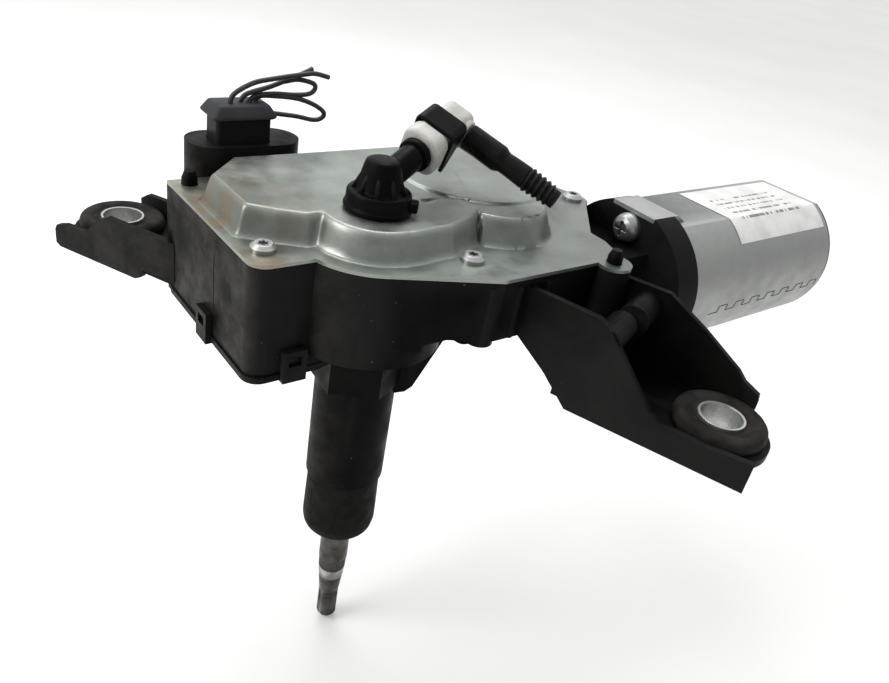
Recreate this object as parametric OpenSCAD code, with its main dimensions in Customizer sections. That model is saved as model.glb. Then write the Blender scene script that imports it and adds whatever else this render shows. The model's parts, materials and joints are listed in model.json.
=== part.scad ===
// Rear window wiper gear motor with a washer feed through its hollow wiper shaft.
// Frame: +Z runs up the wiper shaft, +X runs along the motor away from the gears.
// Origin: on the wiper shaft axis, in the middle of the thread that takes the arm nut.
// Heights in the modules count from the top plane of the cover flange;
// from_thread() moves every piece from there to the origin.

/* [Gear case] */
// Depth of the gear chamber below the cover flange
case_depth = 26; // [24:1:28]
// Depth of the electrical bay on the left of the case
bay_depth = 37; // [35:1:38]
// Radius of the round case front around the shaft
shaft_boss_r = 26.5; // [26:0.5:27]
// Thickness of the case walls
wall = 2.6; // [2.2:0.1:3]

/* [Cover] */
// Thickness of the pressed steel cover
sheet = 1.2; // [0.8:0.1:1.4]
// Height of the pressed dome above the flange
dome_h = 9.6; // [9:0.2:10]
// Height of the round step on top of the dome
plateau_h = 0.8; // [0.4:0.1:1]

/* [Wiper shaft] */
// Radius of the hollow wiper shaft in its bushings
shaft_r = 5; // [4.6:0.1:5.2]
// Radius of the washer fluid bore in the shaft
fluid_r = 1.6; // [1.2:0.1:2]
// Outer radius of the thread that takes the arm nut
thread_r = 4; // [3.9:0.05:4.1]
// Distance from the cover flange down to the shaft tip
shaft_reach = 175; // [172:1:178]

/* [Gears] */
// Distance of the worm wheel axis from the shaft axis along the motor
wheel_x = 52; // [51:0.5:53]
// Offset of the worm wheel axis towards the back
wheel_y = 19; // [18:0.5:20]
// Number of teeth on the worm wheel
wheel_teeth = 66; // [66]
// Radius of the crank pin on the worm wheel
crank_r = 7; // [6.5:0.25:7]
// Tooth module of the output pinion and the sector
sector_module = 1.5; // [1.5]
// Number of teeth on a full pinion circle
pinion_teeth = 16; // [16]

/* [Motor] */
// Radius of the round sides of the motor can
yoke_r = 29.2; // [29:0.1:29.5]
// Half the distance between the two flats of the motor can
yoke_flat = 25.7; // [25.5:0.1:26]
// Length of the motor can
yoke_len = 96; // [92:1:100]

/* [Mounting arms] */
// Bore radius of the steel sleeves
sleeve_bore_r = 6.8; // [6.6:0.1:7]
// Outer radius of the rubber grommets
grommet_r = 15.2; // [14.8:0.1:15.4]
// Length of the steel sleeves
sleeve_len = 13.4; // [13:0.1:14]
// Half the outer width of a mounting arm
arm_half = 18.5; // [18.4:0.1:19]

/* [Washer feed] */
// Direction of the elbow outlet, turned from the motor axis
outlet_turn = 23.5; // [20:0.5:27]
// Upward slope of the elbow outlet
outlet_rise = 15; // [12:1:16]
// Roll of the snap connector on the outlet
connector_roll = 20; // [15:1:22]
// Outer radius of the washer hose
hose_r = 4; // [3.6:0.1:4.2]

/* [Hidden] */
$fn = 48;

// Height of the cover flange above the middle of the arm thread
cone_end = -160;
thread_mid = (cone_end - shaft_reach + 1) / 2;

// Small distances shared by many pieces
cut = 0.5;              // how far a cutting tool runs past a face
run_gap = 0.05;         // radial running clearance of a shaft in its bush
case_top = -sheet;      // top face of the case, under the cover flange
dome_top = dome_h;
dome_in = dome_h - sheet;

// Gear train
wheel_axis = [wheel_x, wheel_y];
wheel_module = 1;
wheel_r = wheel_module * wheel_teeth / 2;
worm_r = 5.5;
worm_tip_r = 6.4;
worm_root_r = 4.4;
worm_pitch = PI * wheel_module;
worm_turns = 5;
motor_y = wheel_y - wheel_r - worm_r;
motor_z = -21.6;
wheel_face = 9;
wheel_top = motor_z + wheel_face / 2;
axle_r = 4;
pinion_r = sector_module * pinion_teeth / 2;
link_len = 2 * pinion_r;
rod_len = 40;

// Rest pose of the linkage: crank pin on the far side of the wheel axis
wheel_dist = norm(wheel_axis);
wheel_turn = atan2(wheel_y, wheel_x);
pin_dist = wheel_dist + crank_r;
link_angle = wheel_turn + acos((link_len ^ 2 + pin_dist ^ 2 - rod_len ^ 2) / (2 * link_len * pin_dist));
crank_at = pin_dist * [cos(wheel_turn), sin(wheel_turn)];
link_at = link_len * [cos(link_angle), sin(link_angle)];
rod_turn = atan2(crank_at[1] - link_at[1], crank_at[0] - link_at[0]);
sector_z = [-9, -3];
rod_z = [-9, -5.4];
pinion_z = [-9.6, -2.4];
link_z = [-2.2, -0.6];
crank_top = -9.3;

// Electrical bay: front left corner, its rounding, and the lid under the bay
bay_x0 = -44.5;
bay_y0 = -8.6;
corner_r = 5.5;
lid_h = 2.8;
lid_bottom = -bay_depth - lid_h;

// Underside of the shallower front edge of the case
front_bottom = -21.4;

// Wiper shaft and its tube
tube_r = 14.2;
tube_step = -94;
spigot_r = 11;
spigot_end = -117;
cap_r = 13.3;
cap_end = -123;
bush_r = 8;
shaft_inlet = 14;
collar_top = cap_end - 1;
cone_start = -140.5;

// Motor
ring_x0 = 100;
flange_x = 111.5;
yoke_end = flange_x + yoke_len;
yoke_wall = 1.8;
motor_shaft_r = 4;
screw_spread = 21.3;
screw_z = [motor_z + screw_spread, motor_z - screw_spread];
ring_r = 30.2;
tab_top = 7;

// Mounting arms: both share one plane, square to the wiper shaft
right_mount = [74.6, -92.9];
left_mount = [-47.3, 96.7];
right_dir = -68;
left_dir = 117;
mount_top = -28.5;
arm_bottom = -40;
arm_plate = [-36.6, -33.8];
arm_wall = 2.4;

// Cover fastening points
screw_at = [[-37.1, 1.2], [21, -24.2], [96.4, 7.5], [91, 51]];
peg_at = [[-38.6, 53], [69, -40.6]];

// Flat pins of the electrical socket
pin_x0 = -24;
pin_step = 4.4;

// Outlet of the elbow, and the barb of the connector that stands across it
outlet_z = 18;
outlet_way = [cos(outlet_rise) * cos(outlet_turn), cos(outlet_rise) * sin(outlet_turn), sin(outlet_rise)];
outlet_side = [sin(outlet_turn), -cos(outlet_turn), 0];
outlet_up = cross(outlet_side, outlet_way);
barb_way = cos(connector_roll) * outlet_side - sin(connector_roll) * outlet_up;
barb_at = 42;
barb_from = [0, 0, outlet_z] + barb_at * outlet_way;

// Hose, measured along the barb: start, end of its sleeve, first ring, open end
hose_from = 7;
hose_step = 16;
hose_ring = 31;
ring_pitch = 2.1;
hose_to = 43.5;
hose_bore = 2.65;

// Wires of the harness
bend_x = -11.5;
wire_r = 0.75;

// Snap hooks of the bottom cover: place on the bay wall and the way the wall faces
clip_at = [[bay_x0, 22.5, 180], [-30.5, bay_y0, -90], [-12, 31, 0]];

// ---------- helpers ----------

module from_thread() {
    translate([0, 0, -thread_mid]) children();
}

// Cylinder along +X from x0 to x1
module rod_x(r, x0, x1, y = motor_y, z = motor_z) {
    translate([x0, y, z]) rotate([90, 0, 90]) cylinder(r = r, h = x1 - x0);
}

// Cylinder along +Z from z0 to z1
module rod_z(r, z0, z1, at = [0, 0]) {
    translate([at[0], at[1], z0]) cylinder(r = r, h = z1 - z0);
}

// Tube along +Z
module ring_z(ro, ri, z0, z1, at = [0, 0]) {
    difference() {
        rod_z(ro, z0, z1, at);
        rod_z(ri, z0 - cut, z1 + cut, at);
    }
}

// Tube along +X, centred on the motor axis
module ring_x(ro, ri, x0, x1) {
    difference() {
        rod_x(ro, x0, x1);
        rod_x(ri, x0 - cut, x1 + cut);
    }
}

// Box between two corners
module block(a, b) {
    translate(a) cube(b - a);
}

// Flat shape raised between two heights
module slab(z0, z1) {
    translate([0, 0, z0]) linear_extrude(z1 - z0) children();
}

// Rectangle with round corners, from exact squares and circles
module round_rect(a, b, r) {
    translate([a[0] + r, a[1]]) square([b[0] - a[0] - 2 * r, b[1] - a[1]]);
    translate([a[0], a[1] + r]) square([b[0] - a[0], b[1] - a[1] - 2 * r]);
    for (x = [a[0] + r, b[0] - r], y = [a[1] + r, b[1] - r]) translate([x, y]) circle(r);
}

// Bar with round ends between two points
module bar(p, q, r) {
    translate(p) circle(r);
    translate(q) circle(r);
    translate(p) rotate(atan2(q[1] - p[1], q[0] - p[0])) translate([0, -r]) square([norm(q - p), 2 * r]);
}

// ---------- gear tooth outline ----------

function involute(a) = tan(a) * 180 / PI - a;

// Half the angle of a tooth at radius rho, for pitch radius r and n teeth
function tooth_half(r, n, play, rho) =
    90 / n - play * 90 / (PI * r) + involute(20) - involute(acos(min(1, r * cos(20) / rho)));

// One side of a tooth, from root to tip
function flank(r, n, play, root, tip) =
    let (base = max(root, r * cos(20)))
    [for (k = [-1:3]) k < 0 ? [root, tooth_half(r, n, play, base)]
        : let (rho = base + (tip - base) * k / 3) [rho, tooth_half(r, n, play, rho)]];

function polar(rho, a) = rho * [cos(a), sin(a)];

// Outline of tooth number k
function tooth(k, r, n, play, root, tip) =
    let (side = flank(r, n, play, root, tip), a = k * 360 / n)
    concat([for (p = side) polar(p[0], a - p[1])],
        [for (j = [len(side) - 1:-1:0]) polar(side[j][0], a + side[j][1])]);

module gear_outline(r, n, play, root, tip) {
    polygon([for (k = [0:n - 1]) each tooth(k, r, n, play, root, tip)]);
}

// ---------- case outlines, seen from above ----------

// Outer edge of the case and the cover flange
module rim_outline() {
    round_rect([bay_x0, bay_y0], [-20, 57.5], corner_r);
    polygon([[-34, bay_y0], [-21, bay_y0], [0, 0], [0, 57.5], [bay_x0, 57.5], [bay_x0, 20], [-34, 0]]);
    circle(shaft_boss_r);
    polygon([[-10, -24.5], [23, -39], [60, -39], [69, -39], [76.2, -35], [79, -27], [79, -19.8],
        [100.4, 4], [101.4, 12], [92, 38], [77, 57.5], [-6, 57.5]]);
    translate(peg_at[1]) circle(6.2);
    translate(screw_at[2]) circle(6.2);
    translate(screw_at[3]) circle(6.2);
    polygon([[78, 40], [93, 46.8], [88, 55.5], [75, 56]]);
}

// Outer edge of the electrical bay, which reaches deeper than the gears
module bay_outline() {
    round_rect([bay_x0, bay_y0], [-20, 57.5], corner_r);
    polygon([[-34, bay_y0], [-21, bay_y0], [-12, -6], [-12, 40], [-4, 40], [-4, 57.5],
        [bay_x0, 57.5], [bay_x0, 20], [-34, 0]]);
}

// Edge of the pressed dome, grown outwards by g
module dome_outline(g) {
    polygon([[-41.3 - g, 11.6 - g], [-31.6, 4.4 - g], [-24.4, -1.9 - g], [0, -1.9 - g], [30, -14 - g],
        [60, -14 - g], [60, 50 + g], [-27, 50 + g], [-41.3 - g, 39 + g]]);
    circle(20.5 + g);
    polygon([[0, -20.5 - g], [4, -20.9 - g], [32, -15.4 - g], [32, 0], [0, 0]]);
    translate([46.8, -1.4]) circle(21.2 + g);
}

// Dome with a sloping right side, shrunk by g and cut at its top
module dome_body(g, top) {
    slab(-sheet - g, top) dome_outline(-g);
    intersection() {
        translate([49.8, 27.4, -sheet]) cylinder(r1 = 44 - g, r2 = 33 - g, h = top + sheet);
        block([30, -30, -sheet - g], [100, 50 - g, top]);
    }
}

// Edge of the gear chamber, grown outwards by g
module chamber_outline(g) {
    translate(wheel_axis) circle(36.3 + g);
    circle(22.6 + g);
    translate([-8, -10]) square([60, 62]);
    translate([27 - g, motor_y - 9 - g]) square([47 + 2 * g, 22 + 2 * g]);
}

// Inside of the electrical bay
module bay_inside(g) {
    difference() {
        round_rect([bay_x0 + 2.9 - g, bay_y0 + 2.9 - g], [-16.2 + g, 54.5 + g], corner_r - 2.8);
        translate(peg_at[0]) circle(4.4);
        translate(screw_at[0]) circle(4.4);
        translate([bay_x0, bay_y0]) square([7, 10]);
    }
    translate([-20, 44 - g]) square([13 + g, 10.5 + 2 * g]);
}

// ---------- gear case ----------

// Side walls and floor of one mounting arm, drawn along +X with the mount at the origin
module arm_profile(points, y0, y1) {
    translate([0, y1, 0]) rotate([90, 0, 0]) linear_extrude(y1 - y0) polygon(points);
}

module place_clip(c) {
    translate([c[0], c[1], 0]) rotate([0, 0, c[2]]) children();
}

module place_arm(at, dir) {
    translate([at[0], at[1], 0]) rotate([0, 0, dir]) children();
}

// Arm under the motor: a channel with a long near wall and a shorter far wall
module right_arm() {
    near = [[-66, -3.5], [-41, -4.6], [-36.5, -7.4], [-32.3, -12.2], [-18.2, -27.8], [-14.6, -29.8], [0, -30.5],
        [14.5, -29.6], [14.5, arm_bottom], [-44.2, -39.6], [-54, -30], [-66, -21]];
    far = [[-46, -4], [-30, -4], [-15.4, -11.8], [-1.2, -20.7], [1.8, -23.6], [7.3, -26.3], [7.8, -29],
        [7.8, arm_bottom], [-46, arm_bottom]];
    place_arm(right_mount, right_dir) difference() {
        union() {
            arm_profile(near, -arm_half, -arm_half + arm_wall);
            arm_profile(far, arm_half - arm_wall, arm_half);
            block([-50, -arm_half + cut, arm_plate[0]], [5, arm_half - cut, arm_plate[1]]);
            rod_z(grommet_r + 1.6, arm_plate[0], arm_plate[1]);
            block([0, -arm_half + cut, arm_plate[0]], [13, 0, arm_plate[1]]);
            // two round cross ribs at the root of the channel
            translate([-38, -arm_half + 1, -12]) rotate([-90, 0, 0]) cylinder(r = 5, h = 15.5);
            translate([-36, 1, -11]) rotate([-90, 0, 0]) cylinder(r = 5.4, h = 16);
            block([-43, -arm_half + 1, -36], [-38, -2, -12]);
            block([-41.5, 1, -36], [-36, arm_half - 1, -11]);
        }
        rod_z(grommet_r - 4.2, -60, 0);
    }
}

// Arm behind the electrical bay
module left_arm() {
    near = [[14.2, -33.6], [13.2, -31.6], [9.6, -30.4], [-0.5, -29.8], [-3.1, -27.4], [-7.5, -22.6],
        [-11.4, -20.7], [-42, -20.4], [-42, -34.8], [-27.7, -35.5], [-26.4, -38.6], [-23.8, arm_bottom],
        [12.4, arm_bottom], [14.2, -38.8]];
    far = [[6.7, -28.5], [3.4, -26.2], [-44, -25.6], [-44, arm_bottom], [6.7, arm_bottom]];
    place_arm(left_mount, left_dir) difference() {
        union() {
            arm_profile(near, arm_half - arm_wall, arm_half);
            arm_profile(far, -arm_half, -arm_half + arm_wall);
            block([-44, -arm_half + cut, arm_plate[0]], [5, arm_half - cut, arm_plate[1]]);
            rod_z(grommet_r + 1.6, arm_plate[0], arm_plate[1]);
            block([0, 0, arm_plate[0]], [13, arm_half - cut, arm_plate[1]]);
        }
        rod_z(grommet_r - 4.2, -60, 0);
    }
}

// Tower that carries the electrical socket
module socket_tower() {
    slab(-32, 10) bar([-25.4, 65.8], [-3.4, 65.8], 9.5);
    slab(-32, -3) translate([-34.5, 55]) square([41, 11]);
}

// Tube for the wiper shaft with its six-sided foot and one stiffening web
module shaft_tube() {
    rod_z(tube_r, tube_step, -30);
    rod_z(spigot_r, spigot_end, tube_step + cut);
    slab(-52, -30) rotate(25) circle(r = 16.9, $fn = 6);
    rotate([0, 0, -40]) translate([0, 2, 0]) rotate([90, 0, 0]) linear_extrude(4)
        polygon([[8, -56.4], [14, -56.4], [17.6, -55], [19.9, -52.4], [27.6, -32], [27.6, -30], [8, -30]]);
}

module gear_housing() color("#26272a") difference() {
    union() {
        difference() {
            slab(-case_depth, case_top) rim_outline();
            block([2, -60, -case_depth - cut], [62, -27, front_bottom]);
        }
        slab(-bay_depth, case_top) bay_outline();
        rod_z(shaft_boss_r, -33, case_top);
        rod_z(4.6, front_bottom - 2.4, -3, [21.5, -33.5]);
        rod_z(38.2, -case_depth - 5, -3, wheel_axis);
        rod_x(11, 24, ring_x0);
        rod_x(ring_r, ring_x0, flange_x);
        block([78, motor_y - 12, -32], [ring_x0 + 1, motor_y + 26, -6]);
        shaft_tube();
        socket_tower();
        right_arm();
        left_arm();
        for (p = peg_at) translate([p[0], p[1], 0])
            rotate_extrude() polygon([[0, -6], [2.6, -6], [2.6, 2.2], [1.7, 4.6], [0, 4.6]]);
        // snap noses that hold the bottom cover
        for (c = clip_at) place_clip(c) block([-1.5, -2, -34.5], [1.1, 2, -32.5]);
        // vertical ribs on the front wall
        for (x = [28, 34, 40]) block([x, -40.2, front_bottom + 0.7], [x + 1.4, -38, -3]);
    }
    // gear chamber, electrical bay and worm tunnel
    slab(-case_depth + wall, 0) difference() {
        chamber_outline(0);
        circle(12);
        translate([-60, -60]) square([46, 200]);
    }
    slab(-13, 0) circle(20);
    slab(-case_depth - 2, 0) translate(wheel_axis) circle(36.3);
    slab(-bay_depth - cut, 0) bay_inside(0);
    slab(-15, 0) translate([-20, 6]) square([16, 44]);
    slab(motor_z - 7.4, 0) translate([34, motor_y - 7.4]) square([40, 14.8]);
    rod_x(8.4, 34, 74);
    rod_x(motor_shaft_r + 0.6, 26.7, 130);
    rod_x(8, 90, 98);
    rod_x(24, ring_x0 + 2.5, flange_x + cut);
    rod_x(5, 97, ring_x0 + 3);
    // seat of the can's tongue
    block([ring_x0 - cut, motor_y - 10, motor_z + 26.8], [flange_x + cut, motor_y + 10, 20]);
    // bore for the shaft bushings
    rod_z(bush_r, spigot_end - cut, 0);
    // axle seat, screw holes and socket opening
    rod_z(axle_r, -case_depth - 4.5, 0, wheel_axis);
    for (p = screw_at) rod_z(1.7, -14, 0, p);
    slab(-4, 12) round_rect([-26.6, 59.8], [-6.4, 70.2], 1.5);
    slab(-30, -3.9) translate([-26.4, 62]) square([17.8, 6.5]);
    block([-26.4, 50, -31.5], [-8.6, 68.5, -26]);
    // motor screw holes
    for (z = screw_z) {
        rod_x(2.6, ring_x0 - 6, flange_x + cut, motor_y, z);
        rod_x(6.2, 76, ring_x0, motor_y, z);
    }
    // groove for the cover seal
    slab(case_top - 1.4, 0) seal_outline();
    // relief seams on the bay wall
    block([bay_x0 - cut, 18.2, -27], [bay_x0 + 0.3, 18.6, -9]);
    block([bay_x0 - cut, 53.4, -23], [bay_x0 + 0.3, 53.8, -18.5]);
}

// ---------- cover ----------

module seal_outline() {
    difference() {
        union() {
            round_rect([-43.7, -7.8], [18.4, 55.6], 4.7);
            circle(24.2);
            translate(wheel_axis) circle(37.9);
            translate([27, motor_y - 10.2]) square([49.2, 30]);
        }
        union() {
            round_rect([-42.5, -6.6], [19.6, 54.4], 3.5);
            circle(23);
            translate(wheel_axis) circle(36.7);
            translate([28.2, motor_y - 9]) square([46.8, 30]);
        }
    }
}

module cover_plate() color("#b9bdb8") difference() {
    union() {
        slab(-sheet, 0) rim_outline();
        dome_body(0, dome_top);
        rod_z(28.8, 0, dome_top + plateau_h, wheel_axis);
    }
    dome_body(sheet, dome_in);
    rod_z(27.6, 0, dome_in + plateau_h, wheel_axis);
    rod_z(7.6, 0, dome_top + cut);
    for (p = screw_at) rod_z(2.3, -sheet - cut, cut, p);
    for (p = peg_at) rod_z(2.75, -sheet - cut, cut, p);
    // room for the socket tower and for the round motor flange
    slab(-sheet - cut, cut) bar([-25.4, 65.8], [-3.4, 65.8], 9.6);
    rod_x(31, ring_x0 - 0.2, flange_x);
}

module cover_seal() color("#1c1c1e") slab(case_top - 1.3, case_top) seal_outline();

// Pan head with a six-lobe recess, and its shank
module cover_screw() {
    difference() {
        union() {
            cylinder(r = 3.9, h = 1.3);
            translate([0, 0, 1.3]) cylinder(r1 = 3.9, r2 = 2.7, h = 1.1);
            translate([0, 0, -12]) cylinder(r = 1.65, h = 12);
        }
        translate([0, 0, 0.9]) cylinder(r = 1.25, h = 3);
        for (a = [0:60:300]) rotate(a) translate([1.25, 0, 0.9]) cylinder(r = 0.4, h = 3, $fn = 16);
    }
}

module cover_screws() color("#c9ccd0") for (p = screw_at) translate([p[0], p[1], 0]) cover_screw();

// Lid under the electrical bay with its snap hooks
module bottom_cover() color("#222326") difference() {
    union() {
        slab(lid_bottom, -bay_depth) bay_outline();
        slab(lid_bottom, -bay_depth - 0.6) round_rect([bay_x0 - 0.6, bay_y0 - 0.6], [-25, 58.1], corner_r);
        slab(lid_bottom, -bay_depth - 0.6) translate([-14, 25]) square([3, 12]);
        for (c = clip_at) place_clip(c) block([0.1, -4, lid_bottom - 0.6], [2.4, 4, -29.5]);
    }
    slab(-bay_depth - 1.2, -bay_depth + cut) bay_inside(0);
    rod_z(shaft_boss_r + 0.2, -bay_depth - 0.4, -bay_depth + cut);
    rod_z(16.98, -60, -30);
    // windows for the snap noses
    for (c = clip_at) place_clip(c) block([-0.5, -2.2, -34.7], [3.5, 2.2, -31.5]);
}

// ---------- electrical pieces ----------

module circuit_board() color("#2f6b3a") difference() {
    slab(-31.2, -29.6) {
        round_rect([-31.8, -5], [-17, 48], 2.6);
        round_rect([-41, 7], [-30, 48], 2.6);
        translate([-33, 44]) square([25, 8]);
    }
    for (y = [14, 40]) rod_z(1.6, -40, 0, [-37, y]);
}

// Four flat pins from the board up into the socket
module terminal_pins() color("#c8a24a") for (k = [0:3]) {
    x = pin_x0 + pin_step * k;
    block([x - 0.4, 64, -28.7], [x + 0.4, 65.6, 6]);
    block([x - 0.4, 48, -29.6], [x + 0.4, 65.6, -28.6]);
}

// Three spring fingers that read the park position from the contact disc
module contact_springs() color("#caa15a") for (k = [0:2]) {
    y = 15 + 4 * k;
    block([-24, y - 0.8, -29.6], [-22.4, y + 0.8, -13.2]);
    block([-24, y - 0.8, -14], [wheel_x - 25, y + 0.8, -13.2]);
    block([wheel_x - 26, y - 0.8, wheel_top + 0.65], [wheel_x - 25, y + 0.8, -13.2]);
}

// ---------- wiper shaft ----------

// Rubber cap over the end of the tube
module shaft_cap() color("#1d1d1f") difference() {
    union() {
        rotate_extrude() polygon([[0, tube_step - 0.1], [cap_r, tube_step - 0.1],
            [cap_r + 0.5, cap_end + 6.5], [cap_r - 0.1, cap_end + 3.4], [cap_r - 2.2, cap_end + 1],
            [cap_r - 4.6, cap_end], [0, cap_end]]);
        rotate([0, 0, -20]) block([6.4, -1.6, cap_end - 7.5], [8.9, 1.6, cap_end + 3.5]);
    }
    rod_z(spigot_r, spigot_end, 0);
    rod_z(6.2, cap_end - 20, spigot_end + 1);
}

module shaft_bushings() color("#a9824a") {
    ring_z(bush_r, shaft_r + run_gap, -34, -22);
    ring_z(bush_r, shaft_r + run_gap, spigot_end, spigot_end + 14);
}

module thrust_washers() color("#d8d4c4") {
    ring_z(9, shaft_r + 0.1, -12.9, -12.1);
    ring_z(8, axle_r + 0.1, -27.9, wheel_top - wheel_face - 0.1, wheel_axis);
}

module output_shaft() color("#77756f") difference() {
    union() {
        rod_z(shaft_r, collar_top, -2.3);
        rod_z(4, -2.5, shaft_inlet);
        rotate_extrude() polygon([[0, collar_top], [5.65, collar_top], [5.65, cone_start],
            [5.3, cone_start - 5], [5.3, cone_start - 6], [4.9, cone_start - 11], [thread_r, cone_end],
            [thread_r, -shaft_reach + 1], [thread_r - 1, -shaft_reach], [0, -shaft_reach]]);
        // knurl teeth on the cone
        for (a = [0:15:345]) rotate(a) translate([5.32, 0, cone_start - 5.4])
            cylinder(r = 0.36, h = 5.2, $fn = 4);
        // keys that carry the pinion
        block([-5.8, -1, -9.5], [5.8, 1, -2.5]);
    }
    rod_z(fluid_r, -180, 20);
    rod_z(2.6, -shaft_reach - cut, -shaft_reach + 6);
    ring_z(7, shaft_r - 0.6, -11.2, -10.1);
}

module output_pinion() color("#d9d6cc") difference() {
    slab(pinion_z[0], pinion_z[1]) rotate(link_angle + 180 / pinion_teeth)
        gear_outline(pinion_r, pinion_teeth, 0.2, 10.1, 13.2);
    rod_z(shaft_r, -20, 20);
    block([-5.8, -1, -9.7], [5.8, 1, -2.3]);
}

module shaft_circlip() color("#8d9096") difference() {
    ring_z(6.6, shaft_r - 0.58, -11.1, -10.2);
    block([0, -2.6, -12], [8, 2.6, -9]);
}

// Spray jet pressed into the shaft tip
module jet_insert() color("#2a2a2c") difference() {
    union() {
        rod_z(2.6, -shaft_reach, -shaft_reach + 5.9);
        translate([0, 0, -shaft_reach]) sphere(r = 1.9);
    }
    rod_z(0.6, -180, -160);
}

// ---------- linkage between the worm wheel and the shaft ----------

module swing_link() color("#9aa0a6") difference() {
    slab(link_z[0], link_z[1]) {
        circle(8.2);
        translate(link_at) circle(7);
        rotate(link_angle) translate([0, -6]) square([link_len, 12]);
    }
    rod_z(4 + run_gap, -20, 20);
    rod_z(3, -20, 20, link_at);
}

module link_pin() color("#b9bcc2") {
    rod_z(3, -9.2, link_z[1], link_at);
    rod_z(4.4, link_z[1], 0.5, link_at);
}

// Toothed rod: sector teeth face the shaft, the eye sits over the crank pin
module sector_gear() color("#e3dfd2") difference() {
    union() {
        slab(sector_z[0], sector_z[1]) translate(link_at) intersection() {
            rotate(link_angle + 180) gear_outline(pinion_r, pinion_teeth, 0.2, 10.1, 13.2);
            rotate(link_angle + 180 + 12)
                polygon([[-4, -4], [4, -22], [22, -19], [22, 19], [4, 22], [-4, 4]]);
        }
        slab(sector_z[0], sector_z[1]) translate(link_at) circle(7.5);
        slab(rod_z[0], rod_z[1]) bar(link_at, crank_at, 5.6);
        slab(rod_z[0], rod_z[1]) translate(crank_at) circle(7);
    }
    rod_z(3 + run_gap, -20, 20, link_at);
    rod_z(4.6, -20, 20, crank_at);
}

module crank_bushing() color("#a9824a") ring_z(4.6, 3.1, rod_z[0], rod_z[1], crank_at);

module wheel_axle() color("#b4b7bd") rod_z(axle_r, -case_depth - 4.5, -10.6, wheel_axis);

module worm_wheel() color("#efece2") translate([wheel_x, wheel_y, 0]) difference() {
    union() {
        slab(wheel_top - wheel_face, wheel_top)
            gear_outline(wheel_r, wheel_teeth, 0.1, wheel_r - 1.25 * wheel_module, wheel_r + wheel_module);
        rod_z(8, wheel_top - cut, -13);
    }
    difference() {
        slab(wheel_top - wheel_face - cut, wheel_top - wheel_face + 3) circle(28);
        rod_z(11, -40, 0);
    }
    rod_z(axle_r + run_gap, -40, 0);
    rod_z(3, -40, 0, crank_r * [cos(wheel_turn), sin(wheel_turn)]);
    rod_z(2.4, -40, 0, [-18, 0]);
}

module crank_pin() color("#b9bcc2") rod_z(3, wheel_top - 6, crank_top, crank_at);

// Copper track that tells the circuit where the wheel stands
module contact_disc() color("#c07f45") difference() {
    ring_z(27, 20, wheel_top, wheel_top + 0.6, wheel_axis);
    block([wheel_x + 18, wheel_y - 5, wheel_top - 1], [wheel_x + 30, wheel_y + 5, wheel_top + 2]);
}

// ---------- motor ----------

// Cross-section of the can: round sides, flat top and bottom
module yoke_section(r, flat) {
    intersection() {
        circle(r);
        square([2 * r + 2, 2 * flat], center = true);
    }
}

// Space inside the can, less a gap all round
module yoke_inside(gap) yoke_section(yoke_r - yoke_wall - gap, yoke_flat - yoke_wall - gap);

module along_motor(x0, x1) {
    translate([x0, motor_y, motor_z]) rotate([90, 0, 90]) linear_extrude(x1 - x0) children();
}

module motor_yoke() color("#a7aaa6") difference() {
    union() {
        along_motor(flange_x, yoke_end - 1.5) yoke_section(yoke_r, yoke_flat);
        // tongue over the flat of the gear case's motor ring
        translate([0, motor_y + 10, 0]) rotate([90, 0, 0]) linear_extrude(20) polygon([[ring_x0, tab_top - 1.7],
            [ring_x0, tab_top], [flange_x + 2, tab_top], [flange_x + 7, motor_z + yoke_flat],
            [flange_x + 7, motor_z + yoke_flat - 1.7], [flange_x, tab_top - 1.7]]);
    }
    along_motor(flange_x + yoke_wall, yoke_end + cut) yoke_inside(0);
    // inner flange that the motor screws hold
    rod_x(17, flange_x - cut, flange_x + yoke_wall + cut);
    for (z = screw_z) rod_x(2.55, flange_x - cut, flange_x + yoke_wall + cut, motor_y, z);
    // slot behind the tongue
    translate([flange_x + 8, motor_y - 3, motor_z + yoke_flat - 3]) cube([1.2, 16, 4]);
}

// Two curved magnets on the round sides of the can
module field_magnets() color("#4a4b50") for (s = [1, -1]) difference() {
    along_motor(flange_x + 24, flange_x + 84) intersection() {
        circle(yoke_r - yoke_wall);
        translate([s * 21, 0]) square([22, 34], center = true);
    }
    rod_x(22.4, flange_x, yoke_end);
}

module motor_end_cap() color("#2b2b2d") {
    difference() {
        union() {
            along_motor(yoke_end - 4, yoke_end - 1.4) yoke_inside(0.05);
            along_motor(yoke_end - 1.5, yoke_end) yoke_section(yoke_r - 0.4, yoke_flat - 0.4);
            rod_x(9, yoke_end - 10, yoke_end - 3);
        }
        rod_x(7, yoke_end - 11, yoke_end - 4);
    }
}

module brush_holder() color("#3a3a3e") difference() {
    along_motor(flange_x + 8, flange_x + 11) yoke_inside(0.1);
    rod_x(10.6, flange_x, flange_x + 12);
    for (z = screw_z) rod_x(2.9, flange_x, flange_x + 14, motor_y, z);
}

module carbon_brushes() color("#34343a") for (s = [1, -1]) difference() {
    translate([flange_x + 11.2, motor_y + (s > 0 ? 9 : -18), motor_z - 3]) cube([5.6, 9, 6]);
    rod_x(9.6, flange_x + 10, flange_x + 20);
}

// Bent leaf springs behind the brushes
module brush_springs() color("#b08d57") for (s = [1, -1]) {
    y = motor_y + s * 18.6;
    translate([flange_x + 11.1, y - 0.3, motor_z - 2.5]) cube([4, 0.6, 14]);
    translate([flange_x + 11.1, y - 0.3 - (s > 0 ? 3 : 0), motor_z + 11]) cube([4, 3.6, 0.6]);
}

module suppression_chokes() color("#7b3f22") for (s = [1, -1])
    rod_x(2.6, flange_x + 11.1, flange_x + 22, motor_y + s * 13, motor_z - 14);

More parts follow.
